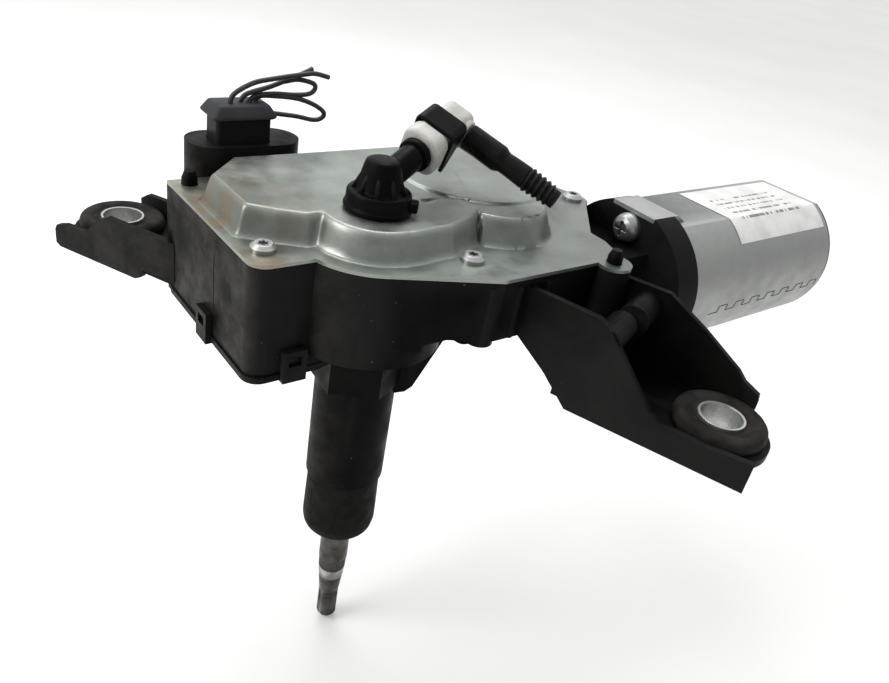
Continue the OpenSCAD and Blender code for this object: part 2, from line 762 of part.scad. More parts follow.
module armature_bearings() color("#a9824a") {
    ring_x(8, motor_shaft_r + run_gap, 90, 97);
    ring_x(7, motor_shaft_r - 0.95, yoke_end - 9.9, yoke_end - 4.1);
}

module motor_screw() {
    difference() {
        union() {
            rotate_extrude()
                polygon([[0, 0], [5.5, 0], [5.5, 1.6], [5.1, 2.9], [4.2, 4], [2.8, 4.7], [0, 4.9]]);
            translate([0, 0, -14]) cylinder(r = 2.5, h = 14.5);
        }
        for (a = [0, 90]) rotate(a) block([-2.9, -0.55, 2.4], [2.9, 0.55, 6.4]);
    }
}

// Screw heads look back towards the gears
module motor_screws() color("#c4c6c8") for (z = screw_z)
    translate([ring_x0, motor_y, z]) rotate([0, -90, 0]) motor_screw();

// Plain label, bent over the top flat and the near round side
module rating_label() color("#e9e9e6") difference() {
    along_motor(flange_x + 30.5, yoke_end - 4) intersection() {
        yoke_section(yoke_r + 0.15, yoke_flat + 0.15);
        translate([-40, 18.5]) square([54, 30]);
    }
    along_motor(flange_x + 30, yoke_end) yoke_section(yoke_r, yoke_flat);
}

module armature_shaft() color("#b9bcc2") {
    rod_x(motor_shaft_r, 30, yoke_end - 12);
    rod_x(3, yoke_end - 12.5, yoke_end - 4.6);
    translate([30, motor_y, motor_z]) sphere(r = 3.2);
}

// Radius of the worm at axial offset u from the thread crest
function worm_radius(u) = let (side = max(0, abs(u) - 0.12) / tan(20)) max(worm_root_r, worm_tip_r - side);

module worm() color("#c2c5ca") difference() {
    translate([wheel_x - worm_turns * worm_pitch / 2, motor_y, motor_z]) rotate([90, 0, 90])
        rotate(-180 * worm_turns)
        linear_extrude(worm_turns * worm_pitch, twist = -360 * worm_turns, slices = 12 * worm_turns)
        polygon([for (a = [-180:15:165]) worm_radius(a / 360 * worm_pitch) * [cos(a), sin(a)]]);
    rod_x(motor_shaft_r + 0.12, 30, 80);
}

module armature_core() color("#6d7076") difference() {
    rod_x(21.4, flange_x + 32, flange_x + 76);
    for (k = [0:9]) translate([0, motor_y, motor_z]) rotate([36 * k, 0, 0]) {
        block([flange_x + 30, 11, -2.6], [flange_x + 80, 18.4, 2.6]);
        block([flange_x + 30, 17, -0.9], [flange_x + 80, 23, 0.9]);
    }
    rod_x(motor_shaft_r, flange_x, yoke_end);
}

// Coil ends on both faces of the core, joined through its slots
module armature_windings() color("#a4582c") {
    for (x = [flange_x + 24.5, flange_x + 76.1]) difference() {
        rod_x(18, x, x + 7.4);
        rod_x(7, x - 1, x + 9);
    }
    for (k = [0:9]) translate([0, motor_y, motor_z]) rotate([36 * k, 0, 0])
        block([flange_x + 31.5, 12, -2.2], [flange_x + 76.5, 17.6, 2.2]);
}

module commutator() color("#b5713d") difference() {
    rod_x(9.4, flange_x + 9, flange_x + 22);
    for (k = [0:9]) translate([0, motor_y, motor_z]) rotate([36 * k + 18, 0, 0])
        block([flange_x + 8, 8.2, -0.3], [flange_x + 20, 11, 0.3]);
    rod_x(motor_shaft_r, flange_x, yoke_end);
}

// ---------- rubber mounts ----------

module mount_grommets() color("#2c2c2d") for (p = [right_mount, left_mount]) translate([p[0], p[1], 0])
    rotate_extrude() polygon([[7.6, mount_top - 0.6], [9, mount_top], [grommet_r - 2.4, mount_top],
        [grommet_r - 0.6, mount_top - 0.9], [grommet_r, mount_top - 2.6], [grommet_r - 0.4, arm_plate[1]],
        [grommet_r - 4.2, arm_plate[1]], [grommet_r - 4.2, arm_plate[0]], [grommet_r - 1.2, arm_plate[0]],
        [grommet_r - 1.6, arm_plate[0] - 3.4], [grommet_r - 3.4, arm_plate[0] - 4.6], [7.6, arm_plate[0] - 4.6]]);

module mount_sleeves() color("#c3c6c2") for (p = [right_mount, left_mount])
    ring_z(7.6, sleeve_bore_r, mount_top - 0.3 - sleeve_len, mount_top - 0.3, p);

// ---------- washer feed ----------

module place_outlet() {
    translate([0, 0, outlet_z]) rotate([0, -outlet_rise, outlet_turn]) rotate([90, 0, 90]) children();
}

module inlet_elbow() color("#1b1b1d") difference() {
    union() {
        rotate_extrude() polygon([[0, 6.6], [7.4, 6.6], [7.4, dome_top], [10.8, dome_top], [10.9, 11],
            [10.3, 11.6], [10, 15.2], [9.4, 15.8], [7.4, 16], [5.2, 24], [4.2, 25.2], [0, 25.2]]);
        place_outlet() rotate_extrude() polygon([[0, 0], [4.4, 0], [4.4, 18], [5.6, 18], [5.6, 20.2],
            [4.4, 20.2], [4.4, 22.4], [3, 22.4], [3, 29], [0, 29]]);
        rotate([0, 0, -40]) block([9, -2.2, 10.4], [12.4, 2.2, 13.8]);
        // stiffening fins on the tapered body
        for (a = [150, 190, 230, 270, 310]) rotate(a) block([5, -0.6, 12], [7.9, 0.6, 20]);
    }
    rod_z(5.3, 0, 15);
    rod_z(2, 14, 19);
    place_outlet() translate([0, 0, -0.5]) cylinder(r = 1.9, h = 40);
}

module elbow_seal() color("#3a3a3c") translate([0, 0, 11.6])
    rotate_extrude() translate([4.67, 0]) circle(r = 0.6, $fn = 24);

module place_connector() {
    place_outlet() rotate([0, 0, connector_roll]) children();
}

// Angled snap connector: square body on the elbow outlet, hose barb to the side
module quick_connector() color("#d7d5cb") difference() {
    union() {
        place_connector() {
            slab(20.6, 27) round_rect([-7, -7], [7, 7], 3.4);
            slab(26.9, 37.2) round_rect([-6.2, -6.2], [6.2, 6.2], 3);
            slab(37.1, 46.4) round_rect([-5.4, -5.8], [5.8, 5.8], 2.8);
        }
        place_hose() cylinder(r = 5.2, h = 6.4);
        place_hose() cylinder(r = 2.6, h = hose_from + 8);
    }
    place_outlet() {
        translate([0, 0, 20]) cylinder(r = 4.7, h = 3);
        translate([0, 0, 17]) cylinder(r = 3.06, h = 13);
        translate([0, 0, 16.5]) cylinder(r = 1.6, h = 25.5);
    }
    place_hose() cylinder(r = 1.5, h = hose_from + 9);
}

// Clip round the connector, open at its lower side
module retaining_clip() color("#1a1a1c") place_connector() difference() {
    slab(27.1, 36.7) round_rect([-7.8, -7.8], [7.8, 8], 3);
    slab(24, 40) translate([-6.3, -14]) square([12.6, 20.3]);
}

module place_hose() {
    translate(barb_from) rotate([0, acos(barb_way[2]), atan2(barb_way[1], barb_way[0])]) children();
}

// Straight hose with a thicker sleeve over the barb and five rings near its open end
module washer_hose() color("#161618") place_hose() rotate_extrude() polygon(concat(
    [[hose_bore, hose_from], [hose_r + 0.6, hose_from], [hose_r + 0.6, hose_step],
        [hose_r - 0.4, hose_step + 3], [hose_r - 0.1, hose_ring]],
    [for (k = [0:4]) let (s = hose_ring + ring_pitch * k)
        each [[hose_r + 1, s + 0.5], [hose_r + 1, s + 1.2], [hose_r, s + 1.7], [hose_r, s + ring_pitch]]],
    [[3.2, hose_to - 1.6], [3.2, hose_to], [hose_bore, hose_to]]));

// ---------- plug and wires ----------

module plug_housing() color("#1b1b1d") difference() {
    slab(-3.8, 18.4) round_rect([-26.4, 60], [-6.6, 70], 1.4);
    for (k = [0:3]) block([pin_x0 + pin_step * k - 0.6, 63.8, -4.5], [pin_x0 + pin_step * k + 0.6, 65.8, 7]);
}

// Cap with sloping sides, cut from two tapered bars
module plug_boot() color("#202124") difference() {
    intersection() {
        translate([0, 74, 0]) rotate([90, 0, 0]) linear_extrude(20)
            polygon([[-27.8, 18.4], [-5.6, 18.4], [-5.2, 19.6], [-9.2, 24.6], [-24.6, 24.6], [-28.2, 19.6]]);
        translate([-34, 0, 0]) rotate([90, 0, 90]) linear_extrude(34)
            polygon([[58.6, 18.4], [71.2, 18.4], [71.6, 19.6], [68.4, 24.6], [61.4, 24.6], [58.2, 19.6]]);
    }
    block([-23.4, 61.9, 22], [-9.6, 69, 26]);
}

// Four wires side by side: up out of the plug, over, and off towards the motor
module harness_wires() color("#17171a") for (k = [0:3]) {
    bend = 4 + 2.2 * k;
    translate([bend_x, 62.9 + 1.6 * k, 22]) {
        rotate([90, 0, 0]) rotate([0, 0, 100]) rotate_extrude(angle = 80)
            translate([bend, 0]) circle(r = wire_r, $fn = 20);
        rotate([0, -10, 0]) translate([0, 0, bend]) rotate([0, 90, 0])
            cylinder(r = wire_r, h = 18, $fn = 20);
    }
}
from_thread() gear_housing();
from_thread() cover_plate();
from_thread() cover_seal();
from_thread() cover_screws();
from_thread() bottom_cover();
from_thread() circuit_board();
from_thread() terminal_pins();
from_thread() contact_springs();
from_thread() shaft_cap();
from_thread() shaft_bushings();
from_thread() thrust_washers();
from_thread() wheel_axle();
from_thread() motor_yoke();
from_thread() field_magnets();
from_thread() motor_end_cap();
from_thread() brush_holder();
from_thread() carbon_brushes();
from_thread() brush_springs();
from_thread() suppression_chokes();
from_thread() armature_bearings();
from_thread() motor_screws();
from_thread() rating_label();
from_thread() mount_grommets();
from_thread() mount_sleeves();
from_thread() inlet_elbow();
from_thread() elbow_seal();
from_thread() output_shaft();
from_thread() output_pinion();
from_thread() shaft_circlip();
from_thread() jet_insert();
from_thread() swing_link();
from_thread() link_pin();
from_thread() sector_gear();
from_thread() crank_bushing();
from_thread() worm_wheel();
from_thread() crank_pin();
from_thread() contact_disc();
from_thread() armature_shaft();
from_thread() worm();
from_thread() armature_core();
from_thread() armature_windings();
from_thread() commutator();
from_thread() quick_connector();
from_thread() washer_hose();
from_thread() retaining_clip();
from_thread() plug_housing();
from_thread() plug_boot();
from_thread() harness_wires();
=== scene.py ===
import json
import math

import bpy
import numpy as np
from mathutils import Euler, Matrix, Vector, noise
from mathutils.geometry import delaunay_2d_cdt


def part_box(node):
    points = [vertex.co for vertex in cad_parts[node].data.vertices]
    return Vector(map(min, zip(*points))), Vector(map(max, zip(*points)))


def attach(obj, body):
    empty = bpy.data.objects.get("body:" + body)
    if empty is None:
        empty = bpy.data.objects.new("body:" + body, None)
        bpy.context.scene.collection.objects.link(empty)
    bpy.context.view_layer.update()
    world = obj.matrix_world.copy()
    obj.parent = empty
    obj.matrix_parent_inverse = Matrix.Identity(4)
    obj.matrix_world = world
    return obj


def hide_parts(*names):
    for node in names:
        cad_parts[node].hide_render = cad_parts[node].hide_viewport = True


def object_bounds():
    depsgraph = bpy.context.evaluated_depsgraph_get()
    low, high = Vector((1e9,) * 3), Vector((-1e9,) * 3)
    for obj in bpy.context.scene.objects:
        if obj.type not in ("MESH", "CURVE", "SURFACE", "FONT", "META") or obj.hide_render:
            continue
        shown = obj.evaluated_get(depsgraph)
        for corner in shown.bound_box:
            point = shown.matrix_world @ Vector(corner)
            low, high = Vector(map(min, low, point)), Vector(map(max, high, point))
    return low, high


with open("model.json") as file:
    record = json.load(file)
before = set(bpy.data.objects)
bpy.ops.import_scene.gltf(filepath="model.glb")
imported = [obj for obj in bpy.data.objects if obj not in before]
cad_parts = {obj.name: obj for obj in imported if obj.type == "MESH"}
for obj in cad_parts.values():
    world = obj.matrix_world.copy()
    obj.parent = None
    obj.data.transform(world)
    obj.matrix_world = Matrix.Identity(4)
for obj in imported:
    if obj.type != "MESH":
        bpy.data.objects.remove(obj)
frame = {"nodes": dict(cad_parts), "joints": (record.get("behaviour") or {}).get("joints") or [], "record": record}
cad_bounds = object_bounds()

# Rear window wiper gear motor. Lengths in this script are millimetres unless a name ends in _m.
MM = 0.001
nodes = frame["nodes"]
joints = {joint["name"]: joint for joint in frame["joints"]}
mounts = {mount["name"]: mount for mount in frame["record"]["mounts"]}


def in_mm(vector_m):
    return Vector(vector_m) / MM


def box_mm(node):
    low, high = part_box(node)
    return low / MM, high / MM


# ---------- places taken from the frame ----------

SHEET = 1.2                                          # thickness of the pressed cover
FLANGE_Z = box_mm("cover_seal")[1].z + SHEET         # top of the cover flange
WHEEL = in_mm(joints["wheel_spin"]["pos_m"])
MOTOR = in_mm(joints["rotor_spin"]["pos_m"])
OUTLET = Vector(joints["connector_swivel"]["axis"]).normalized()
BARB = Vector(mounts["hose_end"]["axis"]).normalized()
HOSE_END = in_mm(mounts["hose_end"]["pos_m"])
OUTLET_H = 18                                        # elbow outlet above the cover flange
ELBOW_BEND = Vector((0, 0, FLANGE_Z + OUTLET_H))     # where the elbow's column meets its outlet
CAN_LOW, CAN_HIGH = box_mm("motor_yoke")
CAP_LOW, CAP_HIGH = box_mm("shaft_cap")


# ---------- mesh helpers ----------

def add_piece(name, points, faces, finish, body, replaced=(), smooth=True):
    """Makes one mesh piece from points in millimetres and lets it ride on a CAD body."""
    mesh = bpy.data.meshes.new(name)
    mesh.from_pydata([Vector(p) * MM for p in points], [], faces)
    mesh.validate()
    mesh.update()
    piece = bpy.data.objects.new(name, mesh)
    bpy.context.scene.collection.objects.link(piece)
    for polygon in mesh.polygons:
        polygon.use_smooth = smooth
    mesh.materials.append(finish)
    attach(piece, body)
    if replaced:
        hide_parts(*replaced)
    return piece


def add_bevel(piece, width, segments=2, angle=35):
    bevel = piece.modifiers.new("soft_edges", "BEVEL")
    bevel.width = width * MM
    bevel.segments = segments
    bevel.limit_method = "ANGLE"
    bevel.angle_limit = math.radians(angle)
    bevel.harden_normals = False
    return piece


def axis_matrix(start, along, up=Vector((0, 0, 1))):
    """Local Z runs along the given direction and local Y points as near to up as it can."""
    z = Vector(along).normalized()
    x = Vector(up).cross(z)
    if x.length < 1e-6:
        x = Vector((1, 0, 0))
    x.normalize()
    y = z.cross(x)
    turn = Matrix((x, y, z)).transposed().to_4x4()
    return Matrix.Translation(start) @ turn


def soften(points, radius, steps=4, closed=False):
    """Rounds the corners of a line of 2-D points."""
    count = len(points)
    soft = []
    for k, point in enumerate(points):
        here = Vector(point)
        if not closed and k in (0, count - 1):
            soft.append(tuple(here))
            continue
        before = Vector(points[k - 1])
        after = Vector(points[(k + 1) % count])
        cut = min(radius, (before - here).length * 0.45, (after - here).length * 0.45)
        start = here + (before - here).normalized() * cut
        end = here + (after - here).normalized() * cut
        for step in range(steps + 1):
            t = step / steps
            soft.append(tuple((1 - t) ** 2 * start + 2 * t * (1 - t) * here + t * t * end))
    return soft


def grid_faces(rows, columns, loop_rows=False):
    """Quads of a grid whose columns close on themselves; rows close too if asked."""
    faces = []
    for row in range(rows if loop_rows else rows - 1):
        after = (row + 1) % rows
        for column in range(columns):
            beside = (column + 1) % columns
            faces.append((row * columns + column, row * columns + beside,
                          after * columns + beside, after * columns + column))
    return faces


def lathe(profile, place, steps=72, closed=False, ripple=0.0):
    """Turns a profile of (radius, height) round the local Z axis of place."""
    points = []
    for radius, height in profile:
        for k in range(steps):
            a = math.tau * k / steps
            around = Vector((math.cos(a), math.sin(a), 0))
            wobble = ripple * noise.noise(Vector((around.x * 2, around.y * 2, height * 0.12)))
            points.append(place @ (around * (radius + wobble) + Vector((0, 0, height))))
    return points, grid_faces(len(profile), steps, closed)


def sweep(path, radius_at, steps=16):
    """Tube along a smooth path; radius_at(t) gives its radius at each share t of the way."""
    points = []
    side = None
    for k, here in enumerate(path):
        before = path[max(k - 1, 0)]
        after = path[min(k + 1, len(path) - 1)]
        along = (after - before).normalized()
        side = along.orthogonal() if side is None else side - along * side.dot(along)
        side.normalize()
        up = along.cross(side)
        radius = radius_at(k / (len(path) - 1))
        for j in range(steps):
            a = math.tau * j / steps
            points.append(here + radius * (math.cos(a) * side + math.sin(a) * up))
    faces = grid_faces(len(path), steps)
    faces.append(tuple(range(steps - 1, -1, -1)))
    faces.append(tuple(range(len(points) - steps, len(points))))
    return points, faces


def smooth_path(points, steps=12):
    """Smooth line through the points (Catmull-Rom)."""
    points = [Vector(p) for p in points]
    padded = [2 * points[0] - points[1]] + points + [2 * points[-1] - points[-2]]
    path = []
    for k in range(1, len(padded) - 2):
        p0, p1, p2, p3 = padded[k - 1:k + 3]
        for step in range(steps):
            t = step / steps
            path.append(0.5 * (2 * p1 + (p2 - p0) * t + (2 * p0 - 5 * p1 + 4 * p2 - p3) * t * t
                               + (3 * p1 - p0 - 3 * p2 + p3) * t ** 3))
    path.append(points[-1])
    return path


def block_ring(half, corner, steps=8):
    """Ring of a rectangle with round corners; half holds the reach to -x, +x, -y and +y."""
    left, right, low, high = half
    ring = []
    for cx, cy, start in ((right - corner, high - corner, 0), (corner - left, high - corner, 90),
                          (corner - left, corner - low, 180), (right - corner, corner - low, 270)):
        for step in range(steps + 1):
            a = math.radians(start + 90 * step / steps)
            ring.append((cx + corner * math.cos(a), cy + corner * math.sin(a)))
    return ring


def loft(sections, place, capped=True):
    """Skin through rings of equal point count, each given as (height, ring)."""
    points = []
    for height, ring in sections:
        points += [place @ Vector((x, y, height)) for x, y in ring]
    columns = len(sections[0][1])
    faces = grid_faces(len(sections), columns)
    if capped:
        faces.append(tuple(range(columns - 1, -1, -1)))
        faces.append(tuple(range(len(points) - columns, len(points))))
    return points, faces


def rounded_block(low, high, half, corner, edge, steps=8):
    """Sections of a block with round corners and softly rounded end faces."""
    sections = []
    for turn in (0, 30, 60, 90):
        inset = edge * (1 - math.sin(math.radians(turn)))
        rise = edge * (1 - math.cos(math.radians(turn)))
        ring = block_ring([h - inset for h in half], max(corner - inset, 0.3), steps)
        sections.append((low + rise, ring))
    ends = [(high - (height - low), ring) for height, ring in reversed(sections)]
    return sections + ends


def join(*parts):
    points, faces = [], []
    for part_points, part_faces in parts:
        offset = len(points)
        points += part_points
        faces += [tuple(index + offset for index in face) for face in part_faces]
    return points, faces


# ---------- finishes ----------

class Finish:
    """Small builder for procedural materials."""

    def __init__(self, name):
        self.material = bpy.data.materials.new(name)
        self.material.use_nodes = True
        self.tree = self.material.node_tree
        self.tree.nodes.clear()
        self.shader = self.add("ShaderNodeBsdfPrincipled")
        output = self.add("ShaderNodeOutputMaterial")
        self.link(self.shader.outputs["BSDF"], output.inputs["Surface"])
        self.place = self.add("ShaderNodeTexCoord").outputs["Object"]

    def add(self, kind, **settings):
        node = self.tree.nodes.new(kind)
        for key, value in settings.items():
            setattr(node, key, value)
        return node

    def link(self, source, target):
        self.tree.links.new(source, target)

    def noise(self, scale, detail=4, rough=0.55, stretch=None):
        node = self.add("ShaderNodeTexNoise")
        node.inputs["Scale"].default_value = scale
        node.inputs["Detail"].default_value = detail
        node.inputs["Roughness"].default_value = rough
        source = self.place
        if stretch:
            mapping = self.add("ShaderNodeMapping")
            mapping.inputs["Scale"].default_value = stretch
            self.link(source, mapping.inputs["Vector"])
            source = mapping.outputs["Vector"]
        self.link(source, node.inputs["Vector"])
        return node.outputs["Fac"]

    def ramp(self, source, low, high, at=(0.35, 0.65)):
        """Maps a value between the two stops to values low and high."""
        node = self.add("ShaderNodeMapRange")
        node.clamp = True
        for key, value in zip(("From Min", "From Max", "To Min", "To Max"), (*at, low, high)):
            node.inputs[key].default_value = value
        self.link(source, node.inputs["Value"])
        return node.outputs["Result"]

    def math(self, operation, a, b):
        node = self.add("ShaderNodeMath", operation=operation)
        for socket, value in zip(node.inputs, (a, b)):
            if isinstance(value, (int, float)):
                socket.default_value = value
            else:
                self.link(value, socket)
        return node.outputs["Value"]

    def mix(self, factor, a, b):
        node = self.add("ShaderNodeMix", data_type="RGBA")
        sockets = (node.inputs[0], node.inputs[6], node.inputs[7])
        for socket, value in zip(sockets, (factor, a, b)):
            if isinstance(value, tuple):
                socket.default_value = (*value, 1)
            elif isinstance(value, (int, float)):
                socket.default_value = value
            else:
                self.link(value, socket)
        return node.outputs[2]

    def edges(self, low=0.52, high=0.6):
        """1 on worn outer edges, 0 elsewhere."""
        pointiness = self.add("ShaderNodeNewGeometry").outputs["Pointiness"]
        return self.ramp(pointiness, 0.0, 1.0, (low, high))

    def facing(self, direction, low=-0.2, high=0.9):
        """1 where the surface faces the direction."""
        node = self.add("ShaderNodeVectorMath", operation="DOT_PRODUCT")
        self.link(self.add("ShaderNodeNewGeometry").outputs["Normal"], node.inputs[0])
        node.inputs[1].default_value = Vector(direction).normalized()
        return self.ramp(node.outputs["Value"], 0.0, 1.0, (low, high))

    def height(self, axis="Z"):
        node = self.add("ShaderNodeSeparateXYZ")
        self.link(self.place, node.inputs["Vector"])
        return node.outputs[axis]

    def set(self, color=None, roughness=None, metallic=0.0, coat=0.0, shine=0.5):
        if color is not None:
            self.link(color, self.shader.inputs["Base Color"])
        if roughness is not None:
            self.link(roughness, self.shader.inputs["Roughness"])
        self.shader.inputs["Metallic"].default_value = metallic
        self.shader.inputs["Coat Weight"].default_value = coat
        self.shader.inputs["Specular IOR Level"].default_value = shine
        return self

    def bump(self, *layers, edge=0.0):
        """Each layer is (height value, depth in millimetres); edge is a rounding radius."""
        normal = None
        if edge:
            node = self.add("ShaderNodeBevel", samples=4)
            node.inputs["Radius"].default_value = edge * MM
            normal = node.outputs["Normal"]
        for source, depth in layers:
            node = self.add("ShaderNodeBump")
            node.inputs["Strength"].default_value = 1.0
            node.inputs["Distance"].default_value = depth * MM
            self.link(source, node.inputs["Height"])
            if normal is not None:
                self.link(normal, node.inputs["Normal"])
            normal = node.outputs["Normal"]
        self.link(normal, self.shader.inputs["Normal"])
        return self.material


def moulding(name, dark, light, dust_and_light_amount=0.35, gloss=0.42):
    """Black moulded plastic: fine texture, scuffs, and a brown dusting with painted light on the faces turned to
    the left at the left end.
    """
    f = Finish(name)
    patches = f.noise(38, 6, 0.6)
    color = f.mix(f.ramp(patches, 0.0, 1.0), dark, light)
    left_end = f.ramp(f.height("X"), 1.0, 0.12, (-0.035, 0.0))
    # Brown dusting at the left end; the next step keeps it only on faces turned toward the left-hand key lamp, so
    # it is also painted light on the lit side.
    dust_and_left_light = f.math("MULTIPLY", f.ramp(f.noise(95, 8, 0.7), 0.15, 1.0, (0.4, 0.62)), left_end)
    dust_and_left_light = f.math("MULTIPLY", dust_and_left_light,
                   f.facing((-1.0, 0.1, 0.1), 0.3, 0.95))
    # Grey-brown colour for the dusting and the painted light on the lit left faces.
    color = f.mix(f.math("MULTIPLY", dust_and_left_light, dust_and_light_amount), color, (0.06, 0.056, 0.047))
    color = f.mix(f.math("MULTIPLY", f.edges(), 0.2), color, (0.04, 0.04, 0.04))
    specks = f.ramp(f.noise(900, 2, 0.5), 0.0, 0.5, (0.76, 0.82))
    color = f.mix(specks, color, (0.2, 0.19, 0.17))
    rough = f.ramp(f.noise(120, 5), gloss - 0.08, gloss + 0.16)
    f.set(color, rough, shine=0.04)
    return f.bump((f.noise(2600, 3), 0.02), (f.noise(160, 4), 0.06), edge=0.35)


def rubber(name, dark, light, rough=0.62):
    f = Finish(name)
    color = f.mix(f.ramp(f.noise(70, 6, 0.65), 0.0, 1.0), dark, light)
    color = f.mix(f.math("MULTIPLY", f.edges(), 0.25), color, (0.1, 0.095, 0.09))
    f.set(color, f.ramp(f.noise(240, 4), rough - 0.1, rough + 0.12), shine=0.08)
    return f.bump((f.noise(1500, 4), 0.03), (f.noise(220, 4), 0.08), edge=0.25)


def steel(name, dark, light, rough=0.36, stain=0.25, brushed=None, edge=0.3, painted_shade=0.0):
    """Plated steel with soft clouds, faint stains and, if asked, drawn lines and painted shade below."""
    f = Finish(name)
    color = f.mix(f.ramp(f.noise(26, 7, 0.62), 0.0, 1.0), dark, light)
    stains = f.math("MULTIPLY", f.ramp(f.noise(60, 9, 0.72), 0.0, 1.0, (0.52, 0.72)), stain)
    color = f.mix(stains, color, (0.2, 0.17, 0.12))
    if painted_shade:
        spangle = f.ramp(f.noise(300, 3, 0.6), 0.0, 0.5, (0.42, 0.62))
        color = f.mix(spangle, color, (0.12, 0.135, 0.13))
        # Painted shade: faces turned down and toward the front are darkened as if in shadow.
        underside_shade = f.math("MULTIPLY", f.facing((0.0, -0.9, -0.45), -0.5, 0.8), painted_shade)
        color = f.mix(underside_shade, color, (0.03, 0.034, 0.032))
    color = f.mix(f.math("MULTIPLY", f.edges(), 0.5), color, (0.6, 0.61, 0.6))
    f.set(color, f.ramp(f.noise(140, 6), rough - 0.07, rough + 0.12), metallic=0.88)
    lines = f.noise(420, 2, 0.5, brushed) if brushed else f.noise(700, 3)
    return f.bump((lines, 0.012), (f.noise(90, 3), 0.05), edge=edge)


def pressed_cover(name):
    """Zinc-plated cover: grey-green clouds, a brown stain at the left end, small dents."""
    f = Finish(name)
    clouds = f.noise(22, 7, 0.6)
    color = f.mix(f.ramp(clouds, 0.0, 1.0), (0.165, 0.185, 0.17), (0.3, 0.325, 0.3))
    left = f.ramp(f.height("X"), 1.0, 0.0, (-0.043, -0.012))
    blotches = f.ramp(f.noise(75, 9, 0.7), 0.1, 1.0, (0.42, 0.6))
    color = f.mix(f.math("MULTIPLY", f.math("MULTIPLY", left, blotches), 0.8), color, (0.2, 0.15, 0.09))
    smears = f.ramp(f.noise(34, 9, 0.75, (1.0, 2.6, 1.0)), 0.0, 0.45, (0.53, 0.7))
    color = f.mix(smears, color, (0.19, 0.215, 0.19))
    color = f.mix(f.math("MULTIPLY", f.edges(0.51, 0.58), 0.3), color, (0.5, 0.52, 0.49))
    f.set(color, f.ramp(f.noise(110, 7, 0.65), 0.3, 0.48), metallic=0.9)
    return f.bump((f.noise(900, 3), 0.012), (f.noise(60, 4), 0.1))


def plain(name, dark, light, rough=0.4, metallic=0.0, scale=60, grain=0.02):
    f = Finish(name)
    color = f.mix(f.ramp(f.noise(scale, 6, 0.6), 0.0, 1.0), dark, light)
    worn = tuple(min(1, 1.25 * c + 0.02) for c in light)
    color = f.mix(f.math("MULTIPLY", f.edges(), 0.25), color, worn)
    f.set(color, f.ramp(f.noise(scale * 4, 4), rough - 0.07, rough + 0.1), metallic=metallic)
    return f.bump((f.noise(1200, 3), grain), (f.noise(200, 3), grain * 2), edge=0.2)


def shaft_finish(name):
    """Dark weathered shaft with a bright ring above the thread."""
    f = Finish(name)
    color = f.mix(f.ramp(f.noise(90, 8, 0.7), 0.0, 1.0), (0.02, 0.019, 0.018), (0.12, 0.11, 0.1))
    z = f.height("Z")
    ring_low, ring_high = (FLANGE_Z - 151.2) * MM, (FLANGE_Z - 146.4) * MM
    ring = f.math("MULTIPLY", f.ramp(z, 0.0, 1.0, (ring_low, ring_low + 0.0006)),
                  f.ramp(z, 1.0, 0.0, (ring_high, ring_high + 0.0006)))
    ring = f.math("MULTIPLY", ring, f.ramp(f.noise(160, 5), 0.35, 1.0, (0.48, 0.6)))
    color = f.mix(ring, color, (0.45, 0.45, 0.44))
    f.set(color, f.ramp(f.noise(300, 5), 0.28, 0.5), metallic=0.85)
    return f.bump((f.noise(900, 4), 0.03), edge=0.15)


def label_finish(name):
    """White film with rows of plain grey bars and no writing."""
    f = Finish(name)
    color = f.mix(f.ramp(f.noise(90, 5), 0.0, 1.0), (0.58, 0.58, 0.56), (0.74, 0.74, 0.72))
    split = f.add("ShaderNodeSeparateXYZ")
    f.link(f.add("ShaderNodeTexCoord").outputs["UV"], split.inputs["Vector"])
    along, across = split.outputs["X"], split.outputs["Y"]
    lines = f.math("MULTIPLY", across, 9.0)
    row = f.math("FLOOR", lines, 0.0)
    share = f.math("FRACT", lines, 0.0)
    bars = f.math("MULTIPLY", f.ramp(share, 0.0, 1.0, (0.3, 0.36)),
                  f.ramp(share, 1.0, 0.0, (0.62, 0.68)))
    spot = f.add("ShaderNodeCombineXYZ")
    f.link(f.math("MULTIPLY", along, 46.0), spot.inputs["X"])
    f.link(f.math("MULTIPLY", row, 7.3), spot.inputs["Y"])
    gaps = f.add("ShaderNodeTexNoise")
    gaps.inputs["Scale"].default_value = 1.0
    gaps.inputs["Detail"].default_value = 0.0
    f.link(spot.outputs["Vector"], gaps.inputs["Vector"])
    bars = f.math("MULTIPLY", bars, f.ramp(gaps.outputs["Fac"], 0.0, 1.0, (0.44, 0.5)))
    for value, low, high in ((along, 0.12, 0.8), (across, 0.22, 0.78)):
        bars = f.math("MULTIPLY", bars, f.ramp(value, 0.0, 1.0, (low, low + 0.01)))
        bars = f.math("MULTIPLY", bars, f.ramp(value, 1.0, 0.0, (high, high + 0.01)))
    color = f.mix(f.math("MULTIPLY", bars, 0.8), color, (0.05, 0.05, 0.05))
    f.set(color, f.ramp(f.noise(200, 4), 0.35, 0.5))
    return f.bump((f.noise(500, 3), 0.01))


